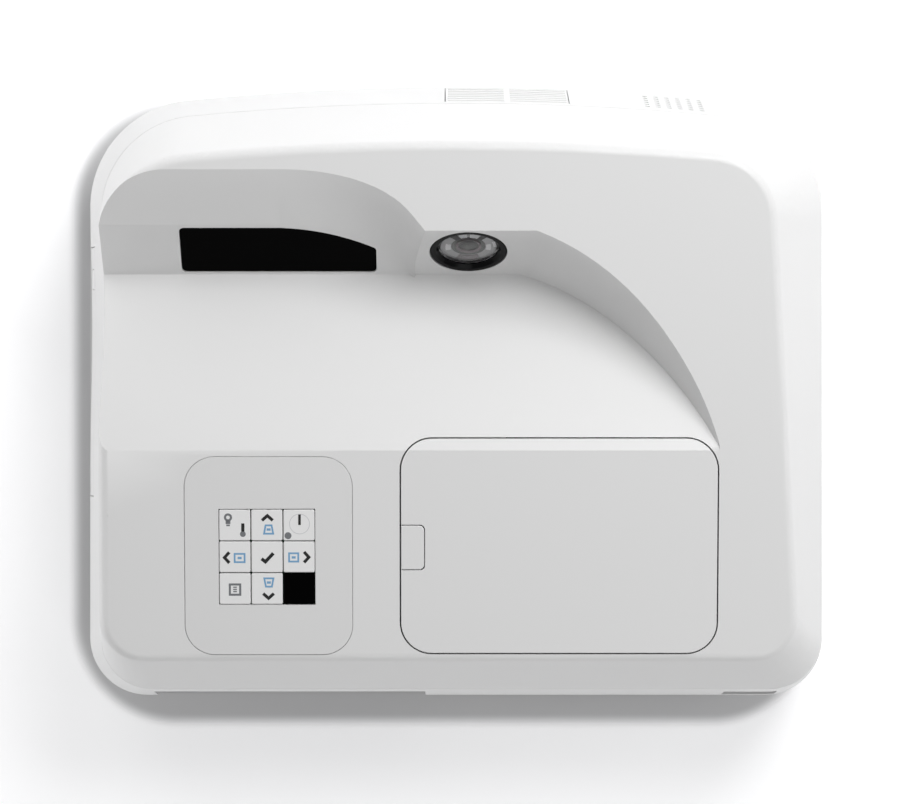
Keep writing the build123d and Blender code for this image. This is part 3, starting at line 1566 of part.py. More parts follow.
tray_bottom_z = drive_bottom_z + drive_sheet + tray_rise
tray_top_z = tray_bottom_z + tray_thickness
tray_half = drive_side - drive_sheet - tray_clearance
tray_length = drive_length - 4.0
disc_x = drive_front_x + disc_radius + 2.0
recess_z = tray_top_z - tray_recess_depth
tray_skin = 1.2
sled_z = tray_bottom_z + 5.0
rod_start_x = disc_x + 12.0
rod_end_x = disc_x + sled_slot_end + 4.0
tray_floor_z = tray_bottom_z + tray_skin
tray_corner = 6.0
with BuildPart() as disc_tray:
    block(
        drive_front_x, drive_front_x + tray_length, drive_y - tray_half, drive_y + tray_half,
        tray_bottom_z, tray_top_z,
    )
    fillet(disc_tray.edges().filter_by(Axis.Z).group_by(Axis.X)[-1], tray_corner)
    rod(Plane.XY.offset(recess_z), (disc_x, drive_y), disc_radius + 0.5, 5, Mode.SUBTRACT)
    rod(Plane.XY.offset(tray_floor_z), (disc_x, drive_y), spindle_pocket_radius, 20, Mode.SUBTRACT)
    block(
        disc_x + sled_slot_start, disc_x + sled_slot_end,
        drive_y - sled_slot_half, drive_y + sled_slot_half,
        tray_floor_z, tray_top_z, Mode.SUBTRACT,
    )
    for side in (-1, 1):
        rod(
            Plane.YZ.offset(rod_start_x), (drive_y + side * sled_rod_half, sled_z),
            sled_rod_radius + 0.05, rod_end_x - rod_start_x, Mode.SUBTRACT,
        )
keep(disc_tray, "disc_tray")

with BuildPart() as sled_rods:
    for side in (-1, 1):
        rod(
            Plane.YZ.offset(rod_start_x + 0.1), (drive_y + side * sled_rod_half, sled_z),
            sled_rod_radius, rod_end_x - rod_start_x - 0.2,
        )
keep(sled_rods, "sled_rods")

with BuildPart() as laser_sled:
    sled_start = disc_x + sled_slot_start + 0.5
    sled_half = sled_slot_half - 0.8
    block(
        sled_start, sled_start + sled_length, drive_y - sled_half, drive_y + sled_half,
        tray_floor_z + 0.3, recess_z - 1.6,
    )
    for side in (-1, 1):
        rod(
            Plane.YZ.offset(sled_start - 1), (drive_y + side * sled_rod_half, sled_z),
            sled_rod_radius + 0.06, sled_length + 2, Mode.SUBTRACT,
        )
    rod(Plane.XY.offset(recess_z - 2), (sled_start + sled_length / 2, drive_y), 3.2, 1.5)
keep(laser_sled, "laser_sled")

spindle_motor_radius = 11.0
with BuildPart() as spindle_hub:
    hub_base_z = tray_floor_z + 0.3
    turned(
        placed(Plane.XY, disc_x, drive_y),
        [
            (0, hub_base_z),
            (spindle_motor_radius, hub_base_z),
            (spindle_motor_radius, recess_z - 2.0),
            (turntable_radius, recess_z - 2.0),
            (turntable_radius, recess_z - 0.3),
            (hub_nose_radius, recess_z - 0.3),
            (hub_nose_radius - 0.4, recess_z + 1.6),
            (0, recess_z + 1.6),
        ],
    )
keep(spindle_hub, "spindle_hub")

eject_z = bezel_bottom_z + bezel_height / 2


def eject_block(grow, end_x, mode):
    """The eject button's outline from outside the case in to end_x, grown by grow."""
    half_length = eject_length / 2 + grow
    half_height = eject_height / 2 + grow
    block(
        left_x - 1, end_x, eject_y - half_length, eject_y + half_length,
        eject_z - half_height, eject_z + half_height, mode,
    )


with BuildPart() as tray_bezel:
    add(flare.part)
    block(
        left_x - 1, drive_front_x, drive_y - bezel_end, drive_y + bezel_end,
        bezel_bottom_z, bezel_bottom_z + bezel_height, Mode.INTERSECT,
    )
    eject_block(bezel_gap, drive_front_x + 1, Mode.SUBTRACT)
keep(tray_bezel, "tray_bezel")

with BuildPart() as eject_button:
    add(flare.part)
    eject_block(0, drive_front_x - eject_travel - 0.2, Mode.INTERSECT)
keep(eject_button, "eject_button")

# ---------------------------------------------------------------- feet, mounts and screws
foot_names = ["foot_front_left", "foot_front_right", "foot_rear_left", "foot_rear_right"]
for name, (x, y) in zip(foot_names, foot_spots):
    with BuildPart() as foot:
        turned(
            placed(Plane.XY, x, y),
            [
                (0, 0),
                (foot_radius - 2, 0),
                (foot_radius - 1, 1),
                (foot_radius, 4),
                (foot_radius, underside_z - 2.4),
                (foot_radius - 2, underside_z - 0.4),
                (foot_stud_radius, underside_z - 0.4),
                (foot_stud_radius, foot_boss_top_z - 4),
                (foot_stud_radius - 1, foot_boss_top_z - 3),
                (0, foot_boss_top_z - 3),
            ],
        )
    keep(foot, name)

with BuildPart() as mount_inserts:
    posts(mount_spots, insert_radius - 0.05, underside_z, underside_z + insert_length)
    posts(mount_spots, mount_bore_radius, underside_z - 1, underside_z + insert_length + 1, Mode.SUBTRACT)
keep(mount_inserts, "mount_inserts")

with BuildPart() as case_screws:
    posts(screw_spots, screw_head_radius, screw_head_z - 2.4, screw_head_z)
    posts(screw_spots, screw_radius, screw_head_z, screw_top_z)
keep(case_screws, "case_screws")
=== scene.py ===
"""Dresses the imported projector: finishes, printed icons, sockets and other fine pieces, and a studio."""

import json
import logging
import math
from dataclasses import dataclass, field
from enum import Enum

import bmesh
import bpy
from mathutils import Matrix, Vector

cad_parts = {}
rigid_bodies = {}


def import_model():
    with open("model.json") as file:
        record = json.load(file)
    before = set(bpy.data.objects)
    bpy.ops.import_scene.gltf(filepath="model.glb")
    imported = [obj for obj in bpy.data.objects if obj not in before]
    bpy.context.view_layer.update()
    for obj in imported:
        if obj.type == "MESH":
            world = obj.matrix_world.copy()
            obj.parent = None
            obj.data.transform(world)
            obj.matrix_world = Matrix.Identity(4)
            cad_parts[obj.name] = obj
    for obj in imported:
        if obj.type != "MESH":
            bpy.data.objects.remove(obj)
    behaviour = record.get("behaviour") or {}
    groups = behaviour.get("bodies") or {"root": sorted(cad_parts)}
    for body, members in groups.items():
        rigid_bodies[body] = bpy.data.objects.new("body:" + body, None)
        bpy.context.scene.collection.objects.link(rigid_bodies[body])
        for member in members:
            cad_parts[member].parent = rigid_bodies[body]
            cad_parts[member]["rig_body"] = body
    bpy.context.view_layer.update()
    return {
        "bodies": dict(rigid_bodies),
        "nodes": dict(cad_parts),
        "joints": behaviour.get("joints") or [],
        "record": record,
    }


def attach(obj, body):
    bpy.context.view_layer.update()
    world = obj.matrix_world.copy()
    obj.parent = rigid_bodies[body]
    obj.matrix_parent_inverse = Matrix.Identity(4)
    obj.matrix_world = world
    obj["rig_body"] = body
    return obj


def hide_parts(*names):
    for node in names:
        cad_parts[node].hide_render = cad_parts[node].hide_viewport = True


LOG = logging.getLogger("projector")
MM = 0.001
# Before a mesh is rounded, corners closer than this are merged.
WELD_MM = 0.002
# Edges shorter than this are dissolved.
SLIVER_MM = 0.001
# Neighbouring faces that bend by less than this become one.
FLAT_DEGREES = 0.2
# A stroke's corners reach out at most as far as this cosine of half their bend allows.
MITRE_LEAST = 0.35
# Size of the patches in which a surface's roughness wanders.
MOTTLE_MM = 40.0
Spot = tuple[float, float]
Point = tuple[float, float, float]


# ---------------------------------------------------------------- colour and nodes
def linear(colour: str) -> tuple[float, float, float, float]:
    """Turns an sRGB hex colour into linear values.

    Args:
        colour: Six hex digits, such as "d8d9db".

    Returns:
        Linear red, green and blue, and an alpha of 1.
    """
    parts = [int(colour[i : i + 2], 16) / 255 for i in (0, 2, 4)]
    red, green, blue = (c / 12.92 if c <= 0.04045 else ((c + 0.055) / 1.055) ** 2.4 for c in parts)
    return (red, green, blue, 1.0)


def add_node(
    tree: bpy.types.NodeTree,
    kind: str,
    settings: dict[str | int, object] | None = None,
    links: dict[str | int, bpy.types.NodeSocket] | None = None,
) -> bpy.types.Node:
    """Adds a node with its settings and links.

    Args:
        tree: The node tree that gets the node.
        kind: The node's type name.
        settings: Values by attribute name, or by input name or number where it isn't an attribute.
        links: Output sockets to join, by input name or number.

    Returns:
        The new node.
    """
    node = tree.nodes.new(kind)
    for name, value in (settings or {}).items():
        if isinstance(name, str) and hasattr(node, name):
            setattr(node, name, value)
        else:
            node.inputs[name].default_value = value
    for name, socket in (links or {}).items():
        tree.links.new(socket, node.inputs[name])
    return node


# ---------------------------------------------------------------- finishes
@dataclass(frozen=True)
class Finish:
    """A surface finish: its colour, gloss and the fine relief that its making leaves.

    Attributes:
        name: Name of the material.
        colour: sRGB hex colour.
        roughness: Roughness of the bare surface.
        grain_mm: Size of the relief's grain.
        relief_mm: Depth of the relief.
        mottle: How far the roughness wanders, either way.
    """

    name: str
    colour: str
    roughness: float
    grain_mm: float = 0.6
    relief_mm: float = 0.004
    mottle: float = 0.03

    def shader_values(self) -> dict[str, object]:
        """Gives the shader's own constant values."""
        return {"Base Color": linear(self.colour), "Roughness": self.roughness}

    def surface(self, tree: bpy.types.NodeTree, shader: bpy.types.Node) -> None:
        """Adds the relief and the wandering roughness to the shader.

        Args:
            tree: The material's node tree.
            shader: Its shader.
        """
        place = add_node(tree, "ShaderNodeTexCoord").outputs["Object"]
        fine = {"Scale": 1 / (self.grain_mm * MM), "Detail": 3.0, "Roughness": 0.6}
        grain = add_node(tree, "ShaderNodeTexNoise", fine, {"Vector": place})
        broad = {"Scale": 1 / (MOTTLE_MM * MM), "Detail": 4.0}
        cloud = add_node(tree, "ShaderNodeTexNoise", broad, {"Vector": place})
        self.texture(tree, shader, grain.outputs["Fac"], cloud.outputs["Fac"])

    def texture(
        self,
        tree: bpy.types.NodeTree,
        shader: bpy.types.Node,
        relief: bpy.types.NodeSocket,
        gloss: bpy.types.NodeSocket,
    ) -> None:
        """Presses a relief into the surface and lets its roughness wander.

        Args:
            tree: The material's node tree.
            shader: Its shader.
            relief: Noise that gives the relief.
            gloss: Noise that moves the roughness.
        """
        bump = add_node(tree, "ShaderNodeBump", {"Distance": self.relief_mm * MM}, {"Height": relief})
        tree.links.new(bump.outputs["Normal"], shader.inputs["Normal"])
        span = {"To Min": max(self.roughness - self.mottle, 0.0), "To Max": self.roughness + self.mottle}
        wander = add_node(tree, "ShaderNodeMapRange", span, {"Value": gloss})
        tree.links.new(wander.outputs["Result"], shader.inputs["Roughness"])

    def material(self) -> bpy.types.Material:
        """Builds the material, or gives the one already built.

        Returns:
            The material.
        """
        if self.name in bpy.data.materials:
            return bpy.data.materials[self.name]
        built = bpy.data.materials.new(self.name)
        built.use_nodes = True
        shader = built.node_tree.nodes["Principled BSDF"]
        for name, value in self.shader_values().items():
            shader.inputs[name].default_value = value
        self.surface(built.node_tree, shader)
        return built


@dataclass(frozen=True)
class Metal(Finish):
    """Bare or plated metal, which mirrors in its own colour."""

    def shader_values(self) -> dict[str, object]:
        """Gives the shader's own constant values."""
        return {**super().shader_values(), "Metallic": 1.0}


@dataclass(frozen=True)
class Brushed(Metal):
    """Metal with fine parallel scratches, drawn along one axis.

    Attributes:
        along: Number of the axis that the scratches follow.
        pinch: Their width as a share of their length.
    """

    along: int = 0
    pinch: float = 0.02

    def surface(self, tree: bpy.types.NodeTree, shader: bpy.types.Node) -> None:
        """Adds stretched scratches to the shader.

        Args:
            tree: The material's node tree.
            shader: Its shader.
        """
        place = add_node(tree, "ShaderNodeTexCoord").outputs["Object"]
        stretch = [1.0, 1.0, 1.0]
        stretch[self.along] = self.pinch
        drawn = add_node(tree, "ShaderNodeMapping", {"Scale": stretch}, {"Vector": place}).outputs["Vector"]
        fine = {"Scale": 1 / (self.grain_mm * MM), "Detail": 4.0}
        scratch = add_node(tree, "ShaderNodeTexNoise", fine, {"Vector": drawn}).outputs["Fac"]
        self.texture(tree, shader, scratch, scratch)


@dataclass(frozen=True)
class Glass(Finish):
    """Polished glass, clear or tinted, with a coating that dims its reflection.

    Attributes:
        grain_mm: Size of the relief's grain, where it has one.
        relief_mm: Depth of the relief.
        mottle: How far the roughness wanders, either way.
        clear: How much light it lets through, from 0 to 1.
        gleam: Strength of its reflection, where 0.5 is bare glass.
    """

    grain_mm: float = 5.0
    relief_mm: float = 0.0
    mottle: float = 0.005
    clear: float = 1.0
    gleam: float = 0.5

    def shader_values(self) -> dict[str, object]:
        """Gives the shader's own constant values.

        Returns:
            The values, by the name of the shader's input.
        """
        return {
            **super().shader_values(),
            "Transmission Weight": self.clear,
            "Specular IOR Level": self.gleam,
            "IOR": 1.5,
        }


@dataclass(frozen=True)
class Backdrop(Finish):
    """White paper that glows, as painted light, more strongly away from the object, and takes a painted
    shadow colour beside it, so that only a narrow shadow is left.

    Attributes:
        middle: Middle of the painted shadow, set off towards the front left, in metres.
        reach: Half width and half depth of the object in metres.
        corner: Radius of the painted shadow's corners.
        painted_shadow_colour: sRGB hex colour of the painted shadow on the paper beside the object.
        fade: Distance over which the painted glow comes up.
        strength: Full strength of the painted glow.
    """

    middle: Spot = (-0.006, -0.012)
    reach: Spot = (0.1915, 0.159)
    corner: float = 0.05
    painted_shadow_colour: str = "cbcbcc"
    fade: float = 0.009
    strength: float = 0.3

    def surface(self, tree: bpy.types.NodeTree, shader: bpy.types.Node) -> None:
        """Adds the painted glow and the painted shadow's colour to the shader.

        Args:
            tree: The material's node tree.
            shader: Its shader.
        """
        spot = add_node(tree, "ShaderNodeTexCoord").outputs["Object"]
        core = (self.reach[0] - self.corner, self.reach[1] - self.corner, 1.0)
        for operation, value in (
            ("SUBTRACT", (*self.middle, 0.0)),
            ("ABSOLUTE", (0.0, 0.0, 0.0)),
            ("SUBTRACT", core),
            ("MAXIMUM", (0.0, 0.0, 0.0)),
        ):
            step = add_node(tree, "ShaderNodeVectorMath", {"operation": operation, 1: value}, {0: spot})
            spot = step.outputs["Vector"]
        away = add_node(tree, "ShaderNodeVectorMath", {"operation": "LENGTH"}, {0: spot}).outputs["Value"]
        span = {
            "interpolation_type": "SMOOTHSTEP",
            "From Min": self.corner,
            "From Max": self.corner + self.fade,
        }
        rise = add_node(tree, "ShaderNodeMapRange", span, {"Value": away}).outputs["Result"]
        # Painted light: the paper glows more strongly the farther it lies from the object.
        light = add_node(tree, "ShaderNodeMath", {"operation": "MULTIPLY", 1: self.strength}, {0: rise})
        tree.links.new(light.outputs[0], shader.inputs["Emission Strength"])
        shader.inputs["Emission Color"].default_value = linear(self.colour)
        # Painted shadow: beside the object the paper takes a darker colour.
        blend = {"data_type": "RGBA", 6: linear(self.painted_shadow_colour), 7: linear(self.colour)}
        paper = add_node(tree, "ShaderNodeMix", blend, {0: rise})
        tree.links.new(paper.outputs[2], shader.inputs["Base Color"])


# ABS with a fine spark-eroded grain: soft broad highlights, no mirror images. The real grain, some
# 0.1 mm, is too fine to show, so it is drawn at 0.5 mm.
CASE_ABS = Finish("abs_satin_white", "d7d7d7", roughness=0.42, grain_mm=0.5, relief_mm=0.0035)
# The lower half comes from another tool and is a touch duller.
LOWER_ABS = Finish("abs_satin_white_base", "d6d6d6", roughness=0.45, grain_mm=0.5, relief_mm=0.0035)
# The keypad's panel is a shade darker, so that its outline shows faintly.
PANEL_ABS = Finish("abs_satin_white_panel", "d4d4d4", roughness=0.46, grain_mm=0.5, relief_mm=0.003)
# Key tops are moulded in a polished tool and read a little lighter and sharper than the case.
KEY_ABS = Finish("abs_key_top", "e0e0e0", roughness=0.3, grain_mm=0.8, relief_mm=0.0015)
# Screen-printed inks lie flat and matt on the keys.
BLACK_INK = Finish("ink_black", "0a0a0b", roughness=0.6, grain_mm=0.3, relief_mm=0.001)
BLUE_INK = Finish("ink_light_blue", "6f9cc0", roughness=0.6, grain_mm=0.3, relief_mm=0.001)
GREY_INK = Finish("ink_grey", "6d6f72", roughness=0.6, grain_mm=0.3, relief_mm=0.001)
PALE_INK = Finish("ink_pale_grey", "c4c5c7", roughness=0.6, grain_mm=0.3, relief_mm=0.001)
# Coated pane over a dark cavity: black from every side, with one dim sharp reflection.
WINDOW_GLASS = Glass(
    "coated_window_glass", "000000", roughness=0.03, relief_mm=0.0005, clear=0.0, gleam=0.03,
)
# Moulded acrylic that only infrared light passes: black, with a slightly stronger sheen.
INFRARED_PMMA = Glass("infrared_acrylic", "000000", roughness=0.05, relief_mm=0.0005, clear=0.0, gleam=0.04)
# Bloomed lens glass: clear, with a faint reflection.
CAMERA_GLASS = Glass("bloomed_lens_glass", "ffffff", roughness=0.0, mottle=0.0, clear=1.0, gleam=0.08)
# Fused quartz, blown and fire-polished: clear, with bright sharp edges.
QUARTZ = Glass("quartz_tube", "f6f7fa", roughness=0.02, clear=1.0, gleam=0.5)
# Pressed and fired ceramic: matt, in a warm white.
CERAMIC = Finish("lamp_ceramic", "d9d5cb", roughness=0.6, grain_mm=0.6, relief_mm=0.003)
# Black polycarbonate with a bloom against stray light: deep black, with only a weak sheen.
GLOSS_BLACK = Glass(
    "polycarbonate_bloomed_black", "020203", roughness=0.14, grain_mm=1.0, relief_mm=0.0006, mottle=0.02,
    clear=0.0, gleam=0.12,
)
# Fibre-filled moulding: dull, faintly grainy black.
MATT_BLACK = Finish("nylon_matt_black", "141416", roughness=0.62, grain_mm=0.7, relief_mm=0.01)
# The same moulding in dark grey, which sets turning parts off from the black ones.
DARK_GREY = Finish("nylon_dark_grey", "3a3b3e", roughness=0.55, grain_mm=0.7, relief_mm=0.008)
# The rings behind the camera's dome: turned grey aluminium, its grey lightened to make up for the light that
# the glass dome holds back, and black anodising. Painted highlights lie on them as pale sectors, for the
# bow-tie gleam of turning and the lamps' reflection in the dome; black sectors paint dark patches between
# them; the plum ring and sector paint the bloom's coloured reflection.
IRIS_GREY = Finish("turned_iris_grey", "b2b2b4", roughness=0.4, grain_mm=0.8, relief_mm=0.002, mottle=0.05)
IRIS_PAINTED_HIGHLIGHT = Finish("iris_painted_highlight", "f4f4f6", roughness=0.3, grain_mm=0.8, relief_mm=0.002, mottle=0.05)
IRIS_BLACK = Finish(
    "anodised_iris_black", "050506", roughness=0.4, grain_mm=0.8, relief_mm=0.002, mottle=0.05,
)
IRIS_PAINTED_PLUM = Finish("iris_painted_plum_reflection", "5f4f55", roughness=0.3, grain_mm=0.8, relief_mm=0.002, mottle=0.05)
# Moulded soft rubber: matt black, with hardly a highlight.
RUBBER = Finish("rubber_matt_black", "18181a", roughness=0.8, grain_mm=0.5, relief_mm=0.012)
# Rolled sheet with bright zinc on it: fine lines along the sheet, and a soft streaked gleam.
ZINC = Brushed("zinc_plated_sheet", "b9bcc0", roughness=0.34, grain_mm=0.25, relief_mm=0.002, mottle=0.06)
# Ground and polished steel: sharp bright reflections.
STEEL = Metal("polished_steel", "c9cacc", roughness=0.16, grain_mm=0.4, relief_mm=0.0008, mottle=0.03)
# Die-cast and tumbled aluminium: dull grey, with a pebbled gleam.
CAST_ALUMINIUM = Metal("cast_aluminium", "a9abae", roughness=0.5, grain_mm=0.9, relief_mm=0.02, mottle=0.06)
# Turned and black-anodised aluminium: satin, with an even soft highlight.
BLACK_METAL = Finish("anodised_black_satin", "101012", roughness=0.36, grain_mm=0.5, relief_mm=0.002)
# Aluminium evaporated on the front of glass: a clean mirror.
MIRROR = Metal("first_surface_mirror", "eef0f2", roughness=0.02, grain_mm=5.0, relief_mm=0.0, mottle=0.005)
# Glass with a thin interference coat: clear, with a strong bluish gleam.
DICHROIC = Glass("dichroic_glass", "9fb4e0", roughness=0.02, clear=0.8, gleam=0.9)
# Green lacquer on laminate: half gloss.
SOLDER_MASK = Finish("solder_mask_green", "1d5a37", roughness=0.35, grain_mm=0.9, relief_mm=0.006)
# Moulded epoxy: dull near-black.
CHIP_EPOXY = Finish("chip_epoxy_black", "1c1c1e", roughness=0.55, grain_mm=0.5, relief_mm=0.004)
# Cut open-cell foam: dark grey struts round black holes, drawn as deep relief.
FOAM = Finish("open_cell_foam", "2c2c2f", roughness=0.95, grain_mm=1.4, relief_mm=0.5)
# Turned brass: warm, with clear highlights.
BRASS = Metal("machined_brass", "d1a85c", roughness=0.3, grain_mm=0.4, relief_mm=0.002)
# Gold-plated contacts: yellow and bright.
GOLD_PIN = Metal("gold_plated_contact", "e0b95a", roughness=0.25, grain_mm=0.3, relief_mm=0.001)
# Socket inserts of moulded nylon, in the colours that tell the sockets apart: half gloss.
BLUE_SHELL = Finish("connector_blue", "2f56a8", roughness=0.4, grain_mm=0.5, relief_mm=0.002)
GREEN_SHELL = Finish("connector_green", "5aa25d", roughness=0.4, grain_mm=0.5, relief_mm=0.002)
WHITE_NYLON = Finish("connector_white", "dcdcd6", roughness=0.45, grain_mm=0.5, relief_mm=0.002)
# Fired ceramic blocks: matt tan.
CERAMIC_CHIP = Finish("capacitor_tan", "b59a72", roughness=0.5, grain_mm=0.5, relief_mm=0.002)
# An unlit signal light of tinted plastic: glossy amber.
AMBER_LIGHT = Finish("signal_light_amber", "d09a3a", roughness=0.3, grain_mm=0.5, relief_mm=0.002)
# A lens with a blue-violet bloom over a dark barrel, seen as one piece.
LASER_GLASS = Glass("bloomed_violet_lens", "1a1830", roughness=0.04, clear=0.0, gleam=0.9)
# Pressed paper pulp: dull grey, faintly fibrous.
PAPER_CONE = Finish("paper_cone_grey", "3d3d40", roughness=0.85, grain_mm=0.5, relief_mm=0.02)
# Colour filters of coated glass: half clear, each in its own colour, with a strong gleam.
WHEEL_GLASS = [
    Glass(f"dichroic_{name}", colour, roughness=0.03, clear=0.5, gleam=0.8)
    for name, colour in (("red", "c23a30"), ("green", "3fa04f"), ("blue", "3452b8"), ("yellow", "d8c540"))
]


class Slot(Enum):
    """The record's material slots, handed to the pieces made here but not used by them."""

    CASE = "case_white"
    KEY = "key_white"
    GLOSS = "black_gloss"
    WINDOW = "window_glass"
    CAMERA = "camera_glass"
    RUBBER = "soft_rubber"
    PLASTIC = "black_plastic"
    ZINC = "zinc_sheet"
    STEEL = "polished_steel"
    METAL = "black_metal"
    WHEEL = "wheel_glass"
    BOARD = "circuit_board"
    BRASS = "insert_brass"


# ---------------------------------------------------------------- places
def upright(x: float, y: float, z: float) -> Matrix:
    """Places a drawing level, with its origin at a point in mm, and gives its matrix to metres."""
    return Matrix.Scale(MM, 4) @ Matrix.Translation((x, y, z))


def leaning(x: float, y: float, z: float, tilt: float) -> Matrix:
    """Places a drawing on a slope that climbs towards the rear.

    Args:
        x: The drawing's origin in the row frame, in mm, as are y and z.
        y: See x.
        z: See x.
        tilt: The slope's angle in degrees.

    Returns:
        Matrix from the drawing (right, up the slope, out) in mm to metres.
    """
    return upright(x, y, z) @ Matrix.Rotation(math.radians(tilt), 4, "X")


def facing(x: float, y: float, z: float, out: Point, right: Point) -> Matrix:
    """Places a drawing on a plane that faces a given way.

    Args:
        x: The drawing's origin in the row frame, in mm, as are y and z.
        y: See x.
        z: See x.
        out: Direction that the drawing faces.
        right: Direction of the drawing's first axis.

    Returns:
        Matrix from the drawing in mm to metres.
    """
    third = Vector(out).normalized()
    first = Vector(right).normalized()
    turn = Matrix((first, third.cross(first), third)).transposed().to_4x4()
    return upright(x, y, z) @ turn


def trapezium(x: float, y: float, foot: float, head: float, rise: float) -> list[Spot]:
    """Gives a trapezium round a point, anticlockwise from its lower left corner.

    Args:
        x: The point, in mm, as is y.
        y: See x.
        foot: Half its width at the foot, in mm, as is the rest.
        head: Half its width at the head.
        rise: Half its height.

    Returns:
        Its corners.
    """
    return [(x - foot, y - rise), (x + foot, y - rise), (x + head, y + rise), (x - head, y + rise)]


def arc_of(radius: float, start: float, end: float, steps: int = 24) -> list[Spot]:
    """Lists points along an arc about the origin.

    Args:
        radius: Its radius in mm.
        start: Its first angle in degrees.
        end: Its last angle in degrees.
        steps: Number of its chords.

    Returns:
        The points.
    """
    turns = [math.radians(start + (end - start) * i / steps) for i in range(steps + 1)]
    return [(radius * math.cos(a), radius * math.sin(a)) for a in turns]


# The deck's front edge, as (y, z) in mm, and its slope in degrees.
DECK_FRONT = (-134.0, 96.0)
DECK_TILT = 5.7


def deck_at(x: float, y: float, rise: float = 0.0) -> Matrix:
    """Places a drawing on the deck, over a plan point.

    Args:
        x: Plan point in mm, as is y.
        y: See x.
        rise: Height over the deck, square to it, in mm.

    Returns:
        Matrix from the drawing in mm to metres.
    """
    z = DECK_FRONT[1] + (y - DECK_FRONT[0]) * math.tan(math.radians(DECK_TILT))
    return leaning(x, y, z, DECK_TILT) @ Matrix.Translation((0, 0, rise))


# ---------------------------------------------------------------- meshes
def stand(name: str, data: bpy.types.ID) -> bpy.types.Object:
    """Stands a new object in the scene.

    Args:
        name: Its name.
        data: Its mesh, light or camera.

    Returns:
        The new object.
    """
    obj = bpy.data.objects.new(name, data)
    bpy.context.scene.collection.objects.link(obj)
    return obj


